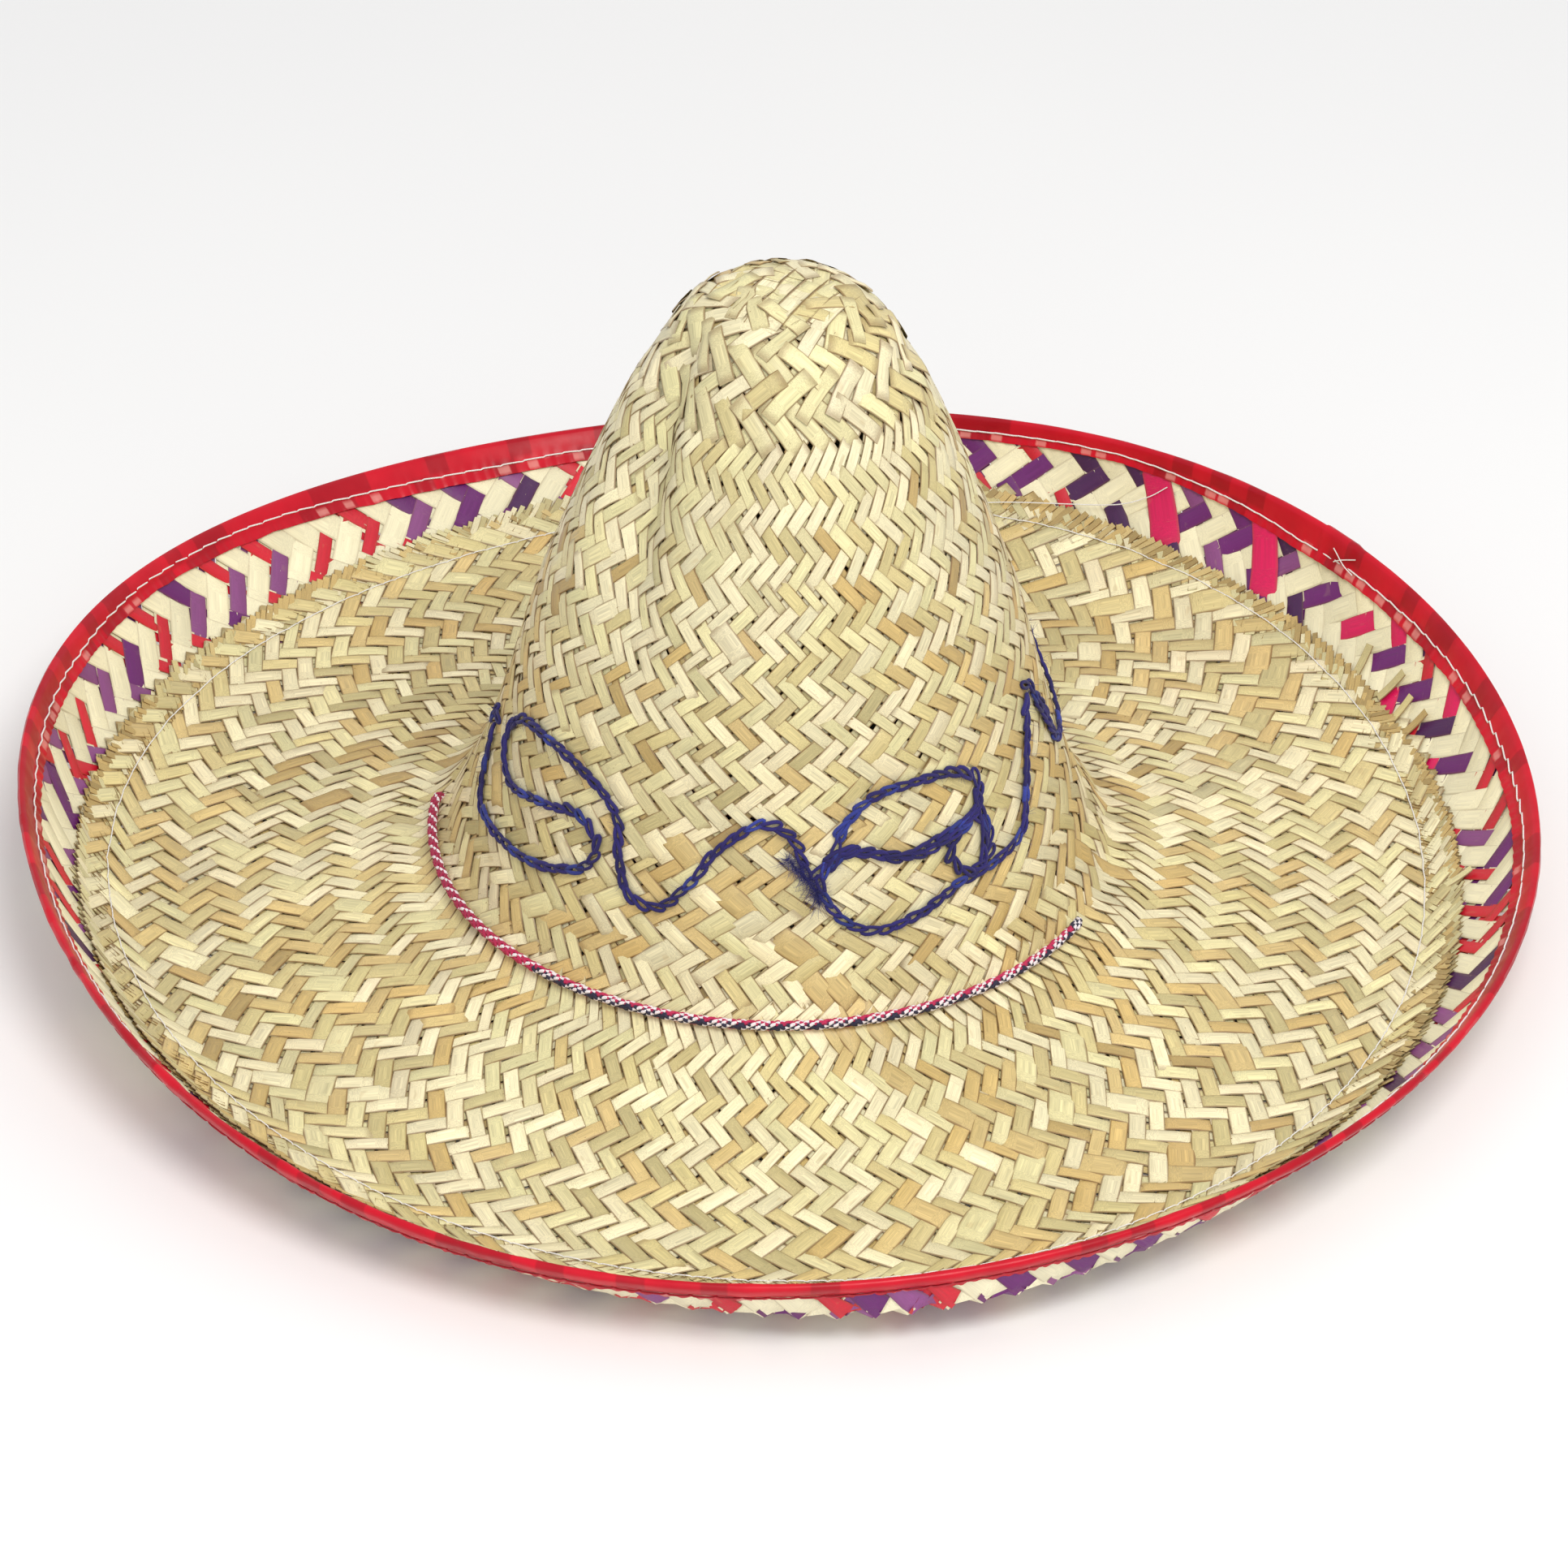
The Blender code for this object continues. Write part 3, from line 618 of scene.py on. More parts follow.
def cut_strips(plait, side, spacing, tuck, height):
    """A layer of the straw's cut edge: bunches of strips that end unevenly."""
    rng = plait.rng
    rows = []
    at = 0.0
    while at < tau:
        sign, bunch_lean = rng.choice((-1.0, 1.0)), rng.uniform(0.55, 0.85)
        bunch_end, bunch_kind = rng.uniform(-0.0006, 0.0006), rng.random()
        for _ in range(rng.integers(12, 30)):
            stray = rng.uniform(0.001, 0.0030) if rng.random() < 0.025 else 0.0
            lean, half = bunch_lean + rng.normal(0, 0.05), rng.uniform(0.0052, 0.0072)
            proud = bunch_end + rng.uniform(-0.0007, 0.0006) + stray - tuck
            wide, kind = rng.uniform(0.80, 1.35) * spacing, bunch_kind + rng.uniform(-0.12, 0.12)
            rows.append((at, sign, lean, half, proud, wide, kind, rng.uniform(-0.0001, 0.0004)))
            at += rng.uniform(0.85, 1.15) * spacing / EDGE_RADIUS
    angle, sign, lean, half, proud, wide, kind, stand = np.array(rows).T
    length = straw_edge(angle) + proud - half * np.cos(lean)
    along = slanted(sign, lean) * half[:, None]
    across = crosswise(sign, lean) * (wide * np.cos(lean))[:, None]
    picked = EDGE_TINTS[np.clip((kind * 8).astype(int), 0, 7)]
    tint = PALM_TINTS[picked] * rng.uniform(0.76, 0.98, (len(rows), 1))
    pitch = 0.0003 + stand
    plait.floats(angle, length, along, across, tint, (height,) * 3, side, a=STRAIGHT, pitch=pitch)


# Split ends past the cut edge: degrees, station, slant and palm tint
SPLIT_ENDS = (
    (24.5, 0.70, -0.1, 5), (21.5, 0.66, 0.15, 2), (19.0, 0.68, 0.0, 6), (29.0, 0.66, 0.3, 5),
    (-3.0, 0.665, 0.2, 1),
)
SPLIT_HALF, SPLIT_WIDTH, SPLIT_LIFT = 0.0068, 0.0038, 0.0008


def split_ends(plait):
    turns, stations, leans, tints = np.array(SPLIT_ENDS).T
    angle = np.radians(turns)
    length = at_station(stations) - SPLIT_HALF
    along = slanted(1, leans) * SPLIT_HALF
    across = crosswise(1, leans) * SPLIT_WIDTH
    tint = PALM_TINTS[tints.astype(int)]
    plait.floats(angle, length, along, across, tint, (SPLIT_LIFT,) * 3, a=STRAIGHT, pitch=0.0005)


# Layers of the cut edge: spacing, tuck and lift
EDGE_LAYERS = ((0.0038, 0.0030, 0.0), (0.0031, 0.0010, 0.0003))
TOP_LOOSE, WALL_LOOSE, BRIM_LOOSE = 0.75, 0.16, 0.03  # shares of strips with a loose end
WALL_GAPS, CROWN_GAPS, BRIM_GAPS = 0.05, 0.02, 0.004  # shares of strips beside a gap


def straw_body(palm):
    """The palm body, outside and inside, in crown and brim pieces."""
    rows = ring_rows()
    foot = length_at_height(CORD_RING_HEIGHT)
    made = []
    for side, face in ((1, "outside"), (-1, "inside")):
        crown, brim = Plait(11 + side), Plait(21 + side)
        top_mat(crown, side)
        strips = {}
        for index, row in enumerate(rows):
            share = row[0] / foot
            if share < 1:
                odds = CROWN_TOP_ODDS * (1 - share**1.5) + CROWN_FOOT_ODDS * share**1.5
                gaps = WALL_GAPS if 0.3 < share < 0.75 else CROWN_GAPS
                loose = TOP_LOOSE if row[0] < 0.060 else WALL_LOOSE
                # Painted shade, less at the crown's top and none at its foot
                shade = 1 - CROWN_PAINTED_SHADE * min(1.0, (1 - share) * 8, 0.3 + share * 2.5)
                lay_ring(crown, row, index, odds, side, strips, gaps, loose, shade)
            else:
                lay_ring(brim, row, index, BRIM_ODDS, side, strips, BRIM_GAPS, BRIM_LOOSE)
        for layer in EDGE_LAYERS:
            cut_strips(brim, side, *layer)
        if side > 0:
            split_ends(brim)
        made.append(crown.mesh(f"straw_crown_{face}", palm, "palm_straw"))
        made.append(brim.mesh(f"straw_brim_{face}", palm, "palm_straw"))
    return made


# ---- The coloured border ----

# Cream, purple, dark purple, pale purple, red and magenta, with their widths and odds
BORDER_TINTS = colours("F4ECC8 6A1A6C 47154F 8E4A86 D41A30 DE045A")
BORDER_WIDTHS = np.array([1.10, 0.94, 0.92, 0.86, 0.66, 1.0])
BORDER_ODDS = (0.10, 0.34, 0.10, 0.16, 0.30, 0.0)
MAGENTA_ODDS = (0.16, 0.14, 0.24, 0.12, 0.12, 0.22)
MAGENTA_FROM, MAGENTA_TO = radians(12), radians(66)
BORDER_COUNT = 142
BORDER_RING_HEIGHT = 0.0115
BORDER_RINGS = (-1, 0, 1, 2, 3)
BORDER_START = FLAT_END + 0.0584
BORDER_SLOPE = radians(44)
BORDER_LIMITS = (at_station(0.325), at_station(0.972))
BILLOW = 0.0075
BILLOW_ANGLE, BILLOW_SPREAD = radians(-79), radians(21)
BILLOW_STATION, BILLOW_TALL = 0.73, 0.085
DYED_RISE = (0.00036, 0.00018, -0.0002)
# Two broad magenta bars, woven in last
BAR_ANGLES, BAR_LEANS = np.radians([44.5, 55.6]), np.full(2, 0.5)
BAR_LENGTHS = np.full(2, FLAT_END + 0.047)
BAR_HALF, BAR_WIDTH, BAR_RISE = 0.0125, 0.0115, (0.0009, 0.0007, -0.0001)


def border_lift(angle, length):
    """The border's middle surface, which billows out at the front."""
    turn = (angle - BILLOW_ANGLE + pi) % tau - pi
    station = (length - FLAT_END) / STATION_LENGTH
    share = np.exp(-((turn / BILLOW_SPREAD) ** 2) - ((station - BILLOW_STATION) / BILLOW_TALL) ** 2)
    lobes = 0.55 + 0.45 * np.abs(np.sin(angle * BORDER_COUNT / 2))
    return BORDER_LIFT - BILLOW * share * lobes


def ring_shift(angle):
    return 0.0002 + 0.0014 * np.cos(angle - radians(155))


def border_strips(rng):
    """Tints and widths of the strips: dyed ones between plain ones."""
    angle = (np.arange(BORDER_COUNT) + 0.5) * tau / BORDER_COUNT
    usual = rng.choice(6, BORDER_COUNT, p=BORDER_ODDS)
    bright = rng.choice(6, BORDER_COUNT, p=MAGENTA_ODDS)
    kind = np.where((angle > MAGENTA_FROM) & (angle < MAGENTA_TO), bright, usual)
    kind[::2] = np.where(rng.random(BORDER_COUNT // 2) < 0.05, kind[::2], 0)
    widths = BORDER_WIDTHS[kind] * rng.uniform(0.95, 1.05, BORDER_COUNT)
    tint = BORDER_TINTS[kind] * rng.uniform(0.9, 1.08, (BORDER_COUNT, 1))
    return tint, widths


def border_band(palm):
    """The border's plait, on both faces."""
    made = []
    pitch = BORDER_RING_HEIGHT / (2 * cos(BORDER_SLOPE))
    for side, face in ((1, "upper"), (-1, "under")):
        plait = Plait(41)
        rng = plait.rng
        families = [border_strips(rng), border_strips(rng)]
        more = (side, border_lift, DYED_THICK, ALONG, BORDER_LIMITS)
        for ring in BORDER_RINGS:
            family = ring % 2 if side > 0 else 1 - ring % 2
            sign = (1, -1)[family]
            tint, widths = (np.roll(x, -sign * ring, axis=0) for x in families[family])
            angle = (np.arange(BORDER_COUNT) + (0.25, 0.75)[ring % 2]) * tau / BORDER_COUNT
            angle = angle + rng.uniform(-0.0015, 0.0015, BORDER_COUNT)
            length = BORDER_START - ring * BORDER_RING_HEIGHT + ring_shift(angle)
            spacing = tau * float(mean_radius(length[:1])[0]) / BORDER_COUNT
            squeeze = spacing / (2 * pitch * sin(BORDER_SLOPE))
            way = slanted(sign, BORDER_SLOPE + rng.normal(0, 0.025, BORDER_COUNT)) * (squeeze, 1)
            across = way * (1, -1) * (pitch * widths)[:, None]
            plait.floats(angle, length, way * pitch, across, tint, DYED_RISE, *more)
        if side > 0:
            half, wide = slanted(1, BAR_LEANS) * BAR_HALF, crosswise(1, BAR_LEANS) * BAR_WIDTH
            tint = BORDER_TINTS[-1] * [[1.0], [0.9]]
            plait.floats(BAR_ANGLES, BAR_LENGTHS, half, wide, tint, BAR_RISE, *more)
        made.append(plait.mesh(f"border_plait_{face}", palm, "dyed_palm"))
    return made


# ---- The binding ----

BINDING_STEPS = 2400
BINDING_REACH = BORDER_THICK / 2 + 0.0010
# Stations of its legs, and where they really start round the rim
BINDING_LEG = (0.820, 0.838, 0.860, 0.885, 0.915, 0.945, 0.975)
BINDING_EDGE = (
    (-180, -160, -90, -45, -20, 0, 20, 35, 42, 52, 60, 70, 90, 118, 128, 140, 152, 162, 175, 180),
    (0.845, 0.82, 0.82, 0.86, 0.87, 0.88, 0.85, 0.82, 0.80, 0.83, 0.855, 0.84, 0.82, 0.83, 0.86,
     0.89, 0.895, 0.875, 0.857, 0.845),
)
STITCH_INSET = 0.056
BINDING_CELLS, SHINE_CELLS = 191, 257


def binding_edge(angle):
    turned = np.degrees((np.asarray(angle) + pi) % tau - pi)
    return np.interp(turned, *BINDING_EDGE)


def binding_marks(rng, angle, station):
    """Darker over strips, with painted highlights as pale glints between the inner edge and the
    stitches.
    """
    step = angle / tau * BORDER_COUNT * 1.35
    lean = np.where(station > 0.9, 0.5, -0.4)
    cell = (np.floor(step + lean) % BINDING_CELLS).astype(int)
    dark = rng.random(BINDING_CELLS)[cell] < 0.30
    inner = (station > 0.832) & (station < 0.872)
    step = step * 1.4
    pale_cell = (np.floor(step) % SHINE_CELLS).astype(int)
    # Painted highlight: pale glints in small cells in a band by the stitches
    pale = (rng.random(SHINE_CELLS)[pale_cell] < 0.30) & (step % 1.0 < 0.7) & inner
    shade = np.where(dark, 0.72, 1.0)
    return np.stack([shade, shade * 0.9, shade, np.where(pale, 1.0, 0.0)], -1)


def rim_binding(vinyl):
    """The folded vinyl, puckered at its stitches; its end laps over its start."""
    rng = np.random.default_rng(51)
    turn = np.linspace(0, tau + LAP_LENGTH, BINDING_STEPS)
    angle = turn + LAP_ANGLE
    over = np.clip((turn - tau + 0.012) / 0.012, 0, 1)
    outline = []
    for height, bend, tip, share in ((1.0, 0.992, 0.999, 0.75), (-0.72, 0.988, 0.993, -0.5)):
        outline += [(s, height) for s in BINDING_LEG]
        outline += [(bend, share), (tip, 0.0), (bend, -share)]
        outline += [(s, -height) for s in BINDING_LEG[::-1]]
    pucker_at = np.cumsum(rng.uniform(0.0030, 0.0065, 420))
    along_rim = turn * 0.26
    pucker = np.sin(np.interp(along_rim, pucker_at, np.arange(420)) * tau)
    slow = np.interp(along_rim, np.linspace(0, 1.7, 260), rng.normal(0, 1, 260))
    first, last = BINDING_LEG[0], BINDING_LEG[-1]
    rings, marks = [], []
    for station, height in outline:
        near_seam = exp(-(((station - first - STITCH_INSET) / 0.022) ** 2))
        near_edge = exp(-(((station - first) / 0.035) ** 2))
        lift = height * (BINDING_REACH - 0.00050 * near_seam + over * 0.00065)
        lift = lift + height * pucker * (0.00022 * near_edge + 0.00010 * near_seam)
        lift = lift + height * slow * 0.00012
        wander = slow * 0.0026 * near_edge
        held = np.clip((last - station) / (last - first), 0, 1)
        shift = (binding_edge(angle) - first) * held
        length = at_station(station + shift + wander + over * 0.004)
        rings.append(hat_point(angle, length, BORDER_LIFT + lift))
        marks.append(binding_marks(np.random.default_rng(52), angle % tau, station))
    points = np.stack(rings, 1).reshape(-1, 3)
    faces = grid_faces(BINDING_STEPS, len(outline), 1, closed=True)
    # The colour holds the darkening over strips; the alpha holds painted highlights
    under = {"under": np.stack(marks, 1).reshape(-1, 4)}
    return add_mesh("rim_binding_vinyl", points, faces, vinyl, under, radians(60))


# ---- Stitching ----


def stitched_line(where, base, side, stitch, sway, seed, stray):
    """Lockstitches round the brim: straight above the work, diving at each hole."""
    rng = np.random.default_rng(seed)
    count = round(tau * 0.25 / stitch)
    steps = 8
    hole = np.arange(count * steps) / steps
    jitter, drift = rng.normal(0, 0.06, count + 1), rng.normal(0, 1, count + 1)
    jitter[-1], drift[-1] = jitter[0], drift[0]
    angle = (hole + np.interp(hole, np.arange(count + 1), jitter)) * tau / count
    phase = hole % 1.0
    lift = STITCH_DEPTH * (np.minimum(1.0, 2.2 * np.sin(phase * pi)) - 0.8)
    side_on = 0.25 + 0.75 * np.exp(-((np.minimum(np.abs(angle - 3.2), np.abs(angle)) / 0.45) ** 2))
    offset = sway * side_on * (phase - 0.5) + stray * np.interp(hole, np.arange(count + 1), drift)
    length = at_station(where(angle)) + offset
    return hat_point(angle, length, base + side * lift)


# Loose ends of sewing thread: degrees, station and lift
LOOSE_THREADS = (
    ((74, 0.40, 0.0012), (70, 0.45, 0.0022), (64, 0.52, 0.0026), (59.5, 0.60, 0.0018),
     (57, 0.70, 0.0010), (55.5, 0.80, 0.0004)),
    ((37.4, 0.865, 0.0011), (36.6, 0.90, 0.0016), (35.2, 0.945, 0.0012)),
    ((35.0, 0.866, 0.0011), (36.2, 0.885, 0.0017), (37.8, 0.93, 0.0013)),
)
WHITE, RED = ("EFEDEA", "white_thread"), ("B01226", "red_thread")
STRAW_TOP, STITCH_DEPTH = 0.00085, 0.00045
BORDER_UNDER = BORDER_LIFT - BORDER_THICK / 2 - 0.00035


def seam_station(angle):
    return np.full_like(angle, SEAM_STATION)


def stitch_station(angle):
    return binding_edge(angle) + STITCH_INSET


# Station, length of a stitch, and radius of the thread
BRIM_SEAM, EDGE_SEAM = (seam_station, 0.0064, 0.00023), (stitch_station, 0.0078, 0.00031)
EDGE_TOP, EDGE_UNDER = BORDER_LIFT + BINDING_REACH, BORDER_LIFT - BINDING_REACH
# Piece, node, seam, height of the work, side, sway, stray and look
THREAD_LINES = (
    ("brim_seam", "brim_seam_needle", BRIM_SEAM, STRAW_TOP, 1, 0.0001, 0.0002, WHITE),
    ("brim_seam_under", "brim_seam_bobbin", BRIM_SEAM, BORDER_UNDER, -1, 0.0001, 0.0002, WHITE),
    ("binding", "binding_needle", EDGE_SEAM, EDGE_TOP, 1, 0.0011, 0.0001, WHITE),
    ("binding_under", "binding_bobbin", EDGE_SEAM, EDGE_UNDER, -1, 0.0004, 0.0001, RED),
)


def thread_pieces(thread):
    for index, (name, node, seam, base, side, sway, stray, look) in enumerate(THREAD_LINES):
        where, stitch, radius = seam
        line = stitched_line(where, base, side, stitch, sway, 60 + index, stray)
        tubes = Tubes()
        tubes.add(line, radius, 6, linear(look[0]), closed=True)
        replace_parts(tubes.mesh(name + "_stitches", thread, look[1]), node + "_thread")
    loose = Tubes()
    for ends in LOOSE_THREADS:
        turns, stations, lifts = catmull_rom(ends, 24).T
        line = hat_point(np.radians(turns), at_station(stations), lifts)
        loose.add(line, 0.00022, 6, linear(WHITE[0]))
    loose.mesh("loose_thread_ends", thread, WHITE[1])


# ---- Yarn embroidery ----

# Routes in degrees round the crown and millimetres of height
LEFT_YARN_ROUTE = (
    (-178, 60), (-175, 68), (-171, 55), (-166, 44), (-155, 42), (-142, 44), (-131, 50), (-127, 59),
    (-132, 67), (-143, 64), (-155, 60), (-163, 68), (-159, 80), (-146, 84), (-134, 82), (-125, 75),
    (-122, 63), (-119, 52), (-113, 48), (-107, 56), (-102, 68), (-94, 79), (-87, 76), (-84, 67),
)
RIGHT_YARN_ROUTE = (
    (18, 85), (16, 75), (6, 64), (-5, 63), (-12, 79), (-16, 93), (-22, 82), (-27, 69), (-32, 56),
    (-41, 51), (-51, 50), (-61, 45), (-71, 43), (-78, 51), (-80, 62), (-74, 69), (-65, 65),
    (-55, 67), (-46, 70), (-43, 78), (-49, 86), (-59, 88), (-69, 86), (-75, 79),
)
RIGHT_YARN_EXTRAS = (
    ((-79.8, 67.7), (-76.3, 69.6), (-69.9, 67.8), (-61.2, 64), (-53.2, 65.5), (-46.1, 69)),
    ((-43.7, 77.1), (-43.4, 69), (-44, 60.5), (-46.1, 54.2)),
    ((-46.1, 66.9), (-50.8, 64.8), (-52.1, 58.4), (-49.2, 52.9), (-44.5, 54.2), (-42.5, 60.9),
     (-44.5, 66.9)),
    ((-74.9, 79), (-76.6, 73.5), (-77.2, 69), (-79.8, 66)),
    ((-13.5, 88), (-11, 82), (-9, 73), (-8, 66)),
)
YARN_TUFT = ((-87, 69), (-84.5, 64), (-82, 59), (-81, 54))
LINK_LENGTH, LINK_SPACING, LINK_WIDTH, YARN_SIZE = 0.0068, 0.0050, 0.0031, 0.00068
YARN_BRIGHT, YARN_DARK, YARN_FIBRE = colours("2A3588 221A62 2C2A78")
BRIGHT_ODDS = 0.22


def chain_stitches(tubes, route, rng):
    """Chain stitches along a route: each teardrop loop starts inside the one before."""
    fine = catmull_rom([(radians(a), z / 1000) for a, z in route], 40)
    along = lengths_along(hat_point(fine[:, 0], length_at_height(fine[:, 1]), 0.0))
    wanted = np.arange(0, along[-1], LINK_SPACING)
    angle, height = (np.interp(wanted, along, values) for values in fine.T)
    length = length_at_height(height)
    radius = mean_radius(length)
    du, dv = np.gradient(angle) * radius, np.gradient(length)
    size = np.hypot(du, dv)
    du, dv = du / size, dv / size
    t = np.linspace(0, tau, 14, endpoint=False)
    for i in range(len(angle)):
        along = (0.5 - 0.5 * np.cos(t)) * LINK_LENGTH * rng.uniform(0.92, 1.1)
        across = np.sin(t) * (0.35 + 0.65 * np.sin(t / 2) ** 2) * LINK_WIDTH / 2
        across = across * rng.uniform(0.85, 1.15) + rng.normal(0, 0.0002)
        u = du[i] * along - dv[i] * across
        v = dv[i] * along + du[i] * across
        arch = 0.0006 * np.sin(along / LINK_LENGTH * pi)
        lift = YARN_LIFT - 0.0005 + arch + rng.normal(0, 0.0001)
        line = hat_point(angle[i] + u / radius[i], length[i] + v, lift)
        tint = YARN_BRIGHT if rng.random() < BRIGHT_ODDS else YARN_DARK
        size = YARN_SIZE * rng.uniform(0.85, 1.15)
        tubes.add(line, size, 6, tint * rng.uniform(0.7, 1.25), closed=True)
    return angle, height


def yarn_fuzz(tubes, angle, height, rng, count, longest=0.0032):
    length = length_at_height(height)
    for _ in range(count):
        i = rng.integers(len(angle))
        here = hat_point(angle[i], length[i], YARN_LIFT)
        side = rng.normal(0, 1, 3)
        side /= np.linalg.norm(side)
        out = hat_point(angle[i], length[i], YARN_LIFT + 0.001) - here
        bend = rng.normal(0, 0.0009, 3)
        t = np.linspace(0, 1, 5)[:, None]
        line = here + side * t * rng.uniform(0.0015, longest) + out * t * 0.8 + bend * t**2
        tubes.add(line, np.linspace(0.00007, 0.00003, 5), 3, YARN_FIBRE * rng.uniform(0.7, 1.4))


def crown_yarn(yarn):
    for node, route, extra, seed in (
        ("crown_yarn_left", LEFT_YARN_ROUTE, (), 71),
        ("crown_yarn_right", RIGHT_YARN_ROUTE, RIGHT_YARN_EXTRAS, 72),
    ):
        rng = np.random.default_rng(seed)
        tubes = Tubes()
        angle, height = chain_stitches(tubes, route, rng)
        for more in extra:
            chain_stitches(tubes, more, rng)
        yarn_fuzz(tubes, angle, height, rng, 420)
        if not extra:
            turns, height = (catmull_rom(YARN_TUFT, 12) / (1, 1000)).T
            yarn_fuzz(tubes, np.radians(turns), height, rng, 620, 0.0062)
        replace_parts(tubes.mesh(node + "_links", yarn, "blue_yarn"), node)


# ---- The braided cord ----

CORD_GAP = 0.0005
CORD_TOP = STRAW_THICK / 2 + CORD_GAP + CORD_DIAMETER / 2
HOLE_ANGLES = (radians(173), radians(333))
CORD_BEND_RADIUS = 0.005
CORD_TURN_AHEAD = 0.0046 / CORD_RING_RADIUS
CORD_DEPTH = 0.0045
STRAND_STRAIGHT = 0.0012
TABLE_HEIGHT = CORD_DIAMETER / 2 + 0.0001
KNOT_CENTRE = np.array([-0.004, 0.002, 0.0041])
KNOT_REACH, KNOT_SIZE, KNOT_THICK = 0.0058, (0.00125, 0.00098, 0.0011), 0.0030
# The strands' routes on the table, in millimetres
LEFT_STRAND_ROUTE = (
    (-103, 12), (-95, 8), (-89, -3), (-84, -22), (-72, -44), (-48, -66), (-16, -74), (13, -67),
    (27, -47), (21, -27), (0, -22), (-23, -29), (-43, -22), (-47, -4), (-34, 6), (-20, 4),
)
RIGHT_STRAND_ROUTE = (
    (93, -46), (87.5, -38), (85.5, -20), (85, 13), (72, 44), (48, 66), (16, 74), (-15, 68),
    (-30, 50), (-26, 32), (-6, 28), (18, 34), (40, 26), (44, 8), (30, -2), (13, 0),
)


def ring_direction(angle):
    half = sqrt(0.5)
    return np.array([half * cos(angle), half * sin(angle), half])


def ring_point(angle, lift):
    r = CORD_RING_RADIUS
    foot = np.array([cos(angle) * r, sin(angle) * r, CORD_RING_HEIGHT])
    return foot + ring_direction(angle) * lift


def cord_bend(hole_angle, direction):
    """The cord's turn down into its hole."""
    start = hole_angle + direction * CORD_TURN_AHEAD
    points = []
    for turn in (0.25, 0.5, 0.75, 1.0):
        a = turn * pi / 2
        angle = start - direction * (CORD_BEND_RADIUS * sin(a) / CORD_RING_RADIUS)
        points.append(ring_point(angle, CORD_TOP - CORD_BEND_RADIUS * (1 - cos(a))))
    inside = start - direction * CORD_BEND_RADIUS / CORD_RING_RADIUS
    points.append(ring_point(inside, -CORD_DEPTH))
    return points


def front_cord_line():
    left, right = HOLE_ANGLES
    first, last = left + CORD_TURN_AHEAD, right - CORD_TURN_AHEAD
    ring = [ring_point(a, CORD_TOP) for a in np.linspace(first, last, 60)]
    return np.array(cord_bend(left, 1)[::-1] + ring + cord_bend(right, -1)) + AXIS


def strand_line(hole_angle, direction, route):
    """A chin strand: down from its hole, then over the table to the knot."""
    inside = hole_angle + direction * (CORD_TURN_AHEAD - CORD_BEND_RADIUS / CORD_RING_RADIUS)
    start = ring_point(inside, -CORD_DEPTH - GAP)
    below = start - ring_direction(hole_angle) * STRAND_STRAIGHT
    flat = [np.array([x / 1000, y / 1000, TABLE_HEIGHT]) for x, y in route]
    side = copysign(1, flat[-1][0] - KNOT_CENTRE[0])
    rise = np.array([0, 0, (KNOT_CENTRE[2] - TABLE_HEIGHT) * 0.5])
    end = KNOT_CENTRE + np.array([side * (KNOT_REACH + GAP), 0, 0]) - rise
    line = catmull_rom([below] + flat + [end], 16)
    line[:, 2] = np.maximum(line[:, 2], TABLE_HEIGHT)
    return np.vstack([start, line]) + AXIS


BRAID_PINK, BRAID_NAVY, BRAID_WHITE = colours("C01550 1D1738 EFE6EA")
BRAID_TURN = 0.0128
STRAND_SHARE, CORE_SHARE, WEAVE_SHARE = 0.185, 0.30, 0.055  # of the cord's diameter


def braid(tubes, line, diameter, spacing=0.00055, pink_end=0.0, dark_end=1.0):
    """Eight strands plaited round a line: four wind each way, over one and under the next.

    The coloured ones are pink up to the share pink_end, then pink above and navy below, the
    navy underside being painted shade, and navy from dark_end.
    """
    points = evenly(line, spacing)
    along = lengths_along(points)
    side, up = frames_along(points)
    strand = diameter * STRAND_SHARE
    share = along / along[-1]
    for k in range(8):
        way, late = (1, 0) if k < 4 else (-1, pi)
        turn = way * along / BRAID_TURN * tau + (k % 4) * pi / 2 + late / 4
        crossing = along / BRAID_TURN * tau * 4
        weave = np.cos(crossing + (k % 2) * pi + late) * diameter * WEAVE_SHARE
        radius = (diameter / 2 - strand + weave)[:, None]
        path = points + (side * np.cos(turn)[:, None] + up * np.sin(turn)[:, None]) * radius
        # Painted shade: past pink_end a coloured strand turns navy on the cord's underside
        upper = -0.56 * np.cos(turn) - 0.83 * np.sin(turn) > -0.5
        pink = ((upper | (share < pink_end)) & (share < dark_end))[:, None]
        crimson = np.clip((share - pink_end) / 0.12, -1, 0)[:, None] * 0.30 + 1
        tint = np.where(pink, BRAID_PINK * crimson, BRAID_NAVY)
        if k in (4, 6, 7):
            plain = (share > pink_end)[:, None] if k > 6 else True
            tint = np.where(plain, BRAID_WHITE, tint)
        tubes.add(path, strand, 6, tint)
    tubes.add(points, diameter * CORE_SHARE, 6, BRAID_NAVY * 0.8)
    return points


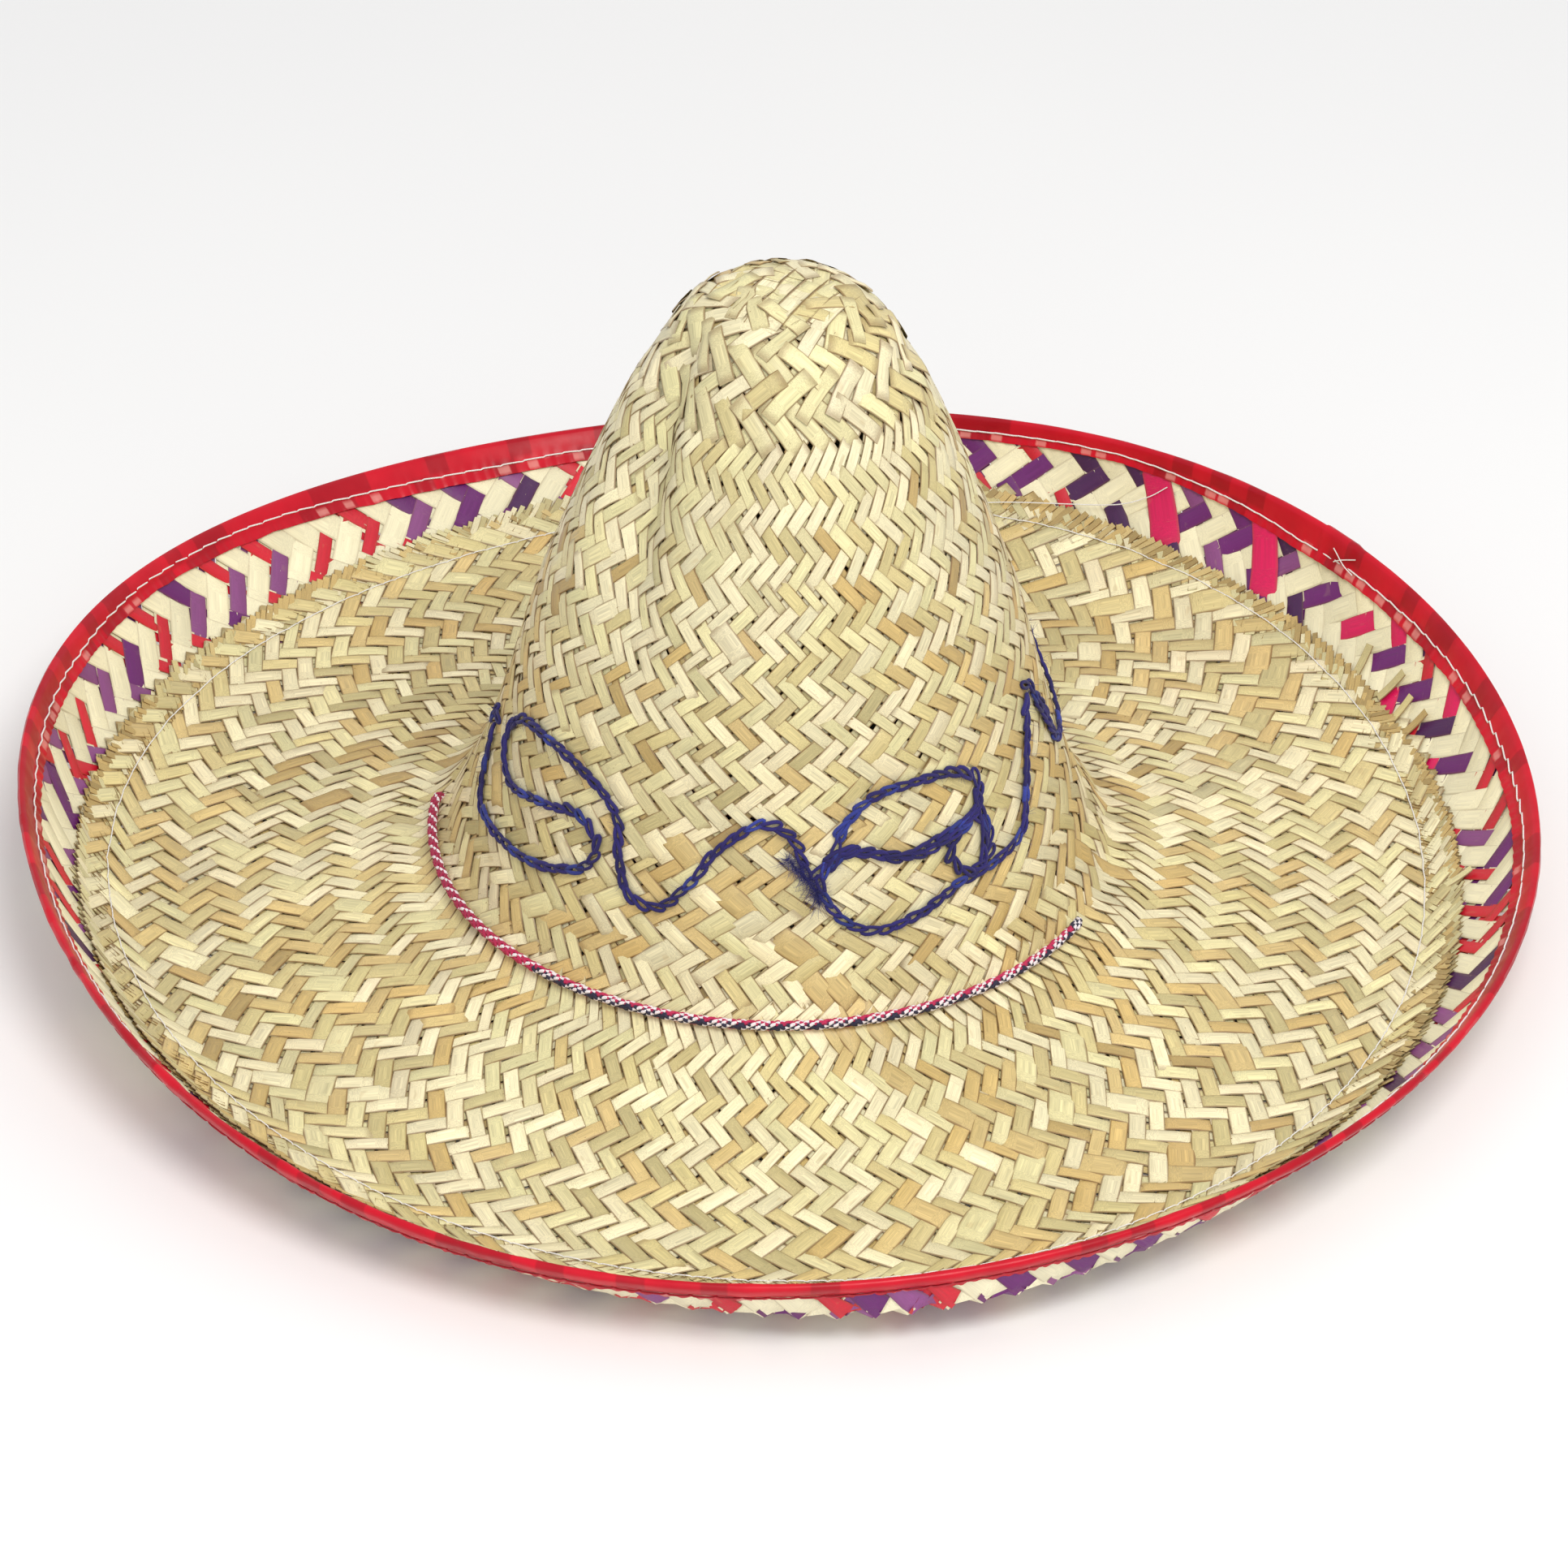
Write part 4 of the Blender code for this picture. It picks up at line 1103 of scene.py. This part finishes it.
def cord_pieces(finish):
    front = Tubes()
    braid(front, front_cord_line(), CORD_DIAMETER, pink_end=0.35, dark_end=0.96)
    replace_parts(front.mesh("hat_cord_braid", finish, "braided_cord"), "hat_cord_front")

    knot = Tubes()
    t = np.linspace(0, tau, 90)
    x, y, z = np.sin(t) + 2 * np.sin(2 * t), np.cos(t) - 2 * np.cos(2 * t), -np.sin(3 * t)
    trefoil = np.stack([x, y, z], -1) * KNOT_SIZE
    braid(knot, trefoil + KNOT_CENTRE + AXIS, KNOT_THICK, 0.0005)
    knot_piece = knot.mesh("chin_knot_braid", finish, "braided_cord")
    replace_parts(knot_piece, "chin_cord_knot")

    left, right = HOLE_ANGLES
    for node, hole, direction, route, on_it in (
        ("chin_cord_left", left, 1, LEFT_STRAND_ROUTE, [knot_piece]),
        ("chin_cord_right", right, -1, RIGHT_STRAND_ROUTE, []),
    ):
        tubes = Tubes()
        line = strand_line(hole, direction, route)
        points = braid(tubes, line, CORD_DIAMETER)
        piece = tubes.mesh(node + "_braid", finish, "braided_cord")
        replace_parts(piece, node)


# ---- Camera, floor and light ----

CAMERA_ELEVATION, CAMERA_ROLL = radians(34.21), radians(1.16)
CAMERA_DISTANCE = 2.0
CAMERA_TARGET = Vector((0.0033, 0.0, 0.0352)) + Vector(AXIS)
SENSOR, LENS = 36, 133.2559  # mm
WORLD_STRENGTH = 0.74
# Name, diameter, place, target, watts and colour
LIGHTS = (
    ("key", 1.0, (0.45, -0.95, 1.8), (0, 0, 0), 22.5, (1, 0.98, 0.95)),
    ("fill", 1.8, (-0.2, -2.2, 1.1), (0, 0, 0.05), 5, (1, 1, 1)),
)
FLOOR_HALF, FLOOR_HEIGHT = 30.0, -0.0008
FLOOR_TONES = ((0.875, 0.875, 0.88, 1), (0.89, 0.89, 0.89, 1))


def aim(made, place, way, roll=0.0):
    made.location = place
    made.rotation_mode = "QUATERNION"
    made.rotation_quaternion = way.to_track_quat("-Z", "Y") @ Quaternion((0, 0, 1), roll)


def camera():
    back = Vector((0, -cos(CAMERA_ELEVATION), sin(CAMERA_ELEVATION)))
    data = bpy.data.cameras.new("camera")
    data.sensor_width, data.lens, data.clip_end = SENSOR, LENS, 20
    bpy.context.scene.camera = put("camera", data)
    aim(bpy.context.scene.camera, CAMERA_TARGET + back * CAMERA_DISTANCE, -back, CAMERA_ROLL)


def area_light(name, size, place, target, watts, tone):
    data = bpy.data.lights.new(name, "AREA")
    data.shape, data.size, data.energy, data.color = "DISK", size, watts, tone
    aim(put(name, data), place, Vector(target) - Vector(place))


def studio():
    world = bpy.data.worlds.new("studio")
    bpy.context.scene.world = world
    world.use_nodes = True
    sky = world.node_tree.nodes["Background"].inputs
    sky[0].default_value = (1, 1, 1, 1)
    sky[1].default_value = WORLD_STRENGTH
    for light in LIGHTS:
        area_light(*light)
    n = Nodes("pale_table", 0.6)
    n.colour(n.mix(n.spread(n.noise(n.place(), 2.5, 2.0)), *FLOOR_TONES))
    data = bpy.data.meshes.new("table_top")
    r = FLOOR_HALF
    data.from_pydata([(-r, -r, 0), (r, -r, 0), (r, r, 0), (-r, r, 0)], [], [(0, 1, 2, 3)])
    data.materials.append(n.material)
    floor = put("table_top", data)
    floor.location.z = FLOOR_HEIGHT
    # The photo is bright and saturated, and Blender's usual transform greys it
    bpy.context.scene.view_settings.view_transform = "Standard"


def build():
    camera()
    finish = fibre_material("braided_thread", 0.6, 2600, 0.10)
    cord_pieces(finish)
    palm = palm_material("palm_strip", 0.40, 0.80, 0.21)
    dyed = palm_material("dyed_palm_strip", 0.42, 0.30, 0.11)
    vinyl = vinyl_material()
    thread = fibre_material("sewing_thread", 0.6, 3000, 0.1)
    yarn = fibre_material("blue_wool_yarn", 0.85, 2400, 0.12)
    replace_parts(straw_body(palm)[0], "woven_straw_body")
    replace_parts(border_band(dyed)[0], "coloured_border_band")
    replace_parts(rim_binding(vinyl), "rim_binding")
    thread_pieces(thread)
    crown_yarn(yarn)
    studio()


build()
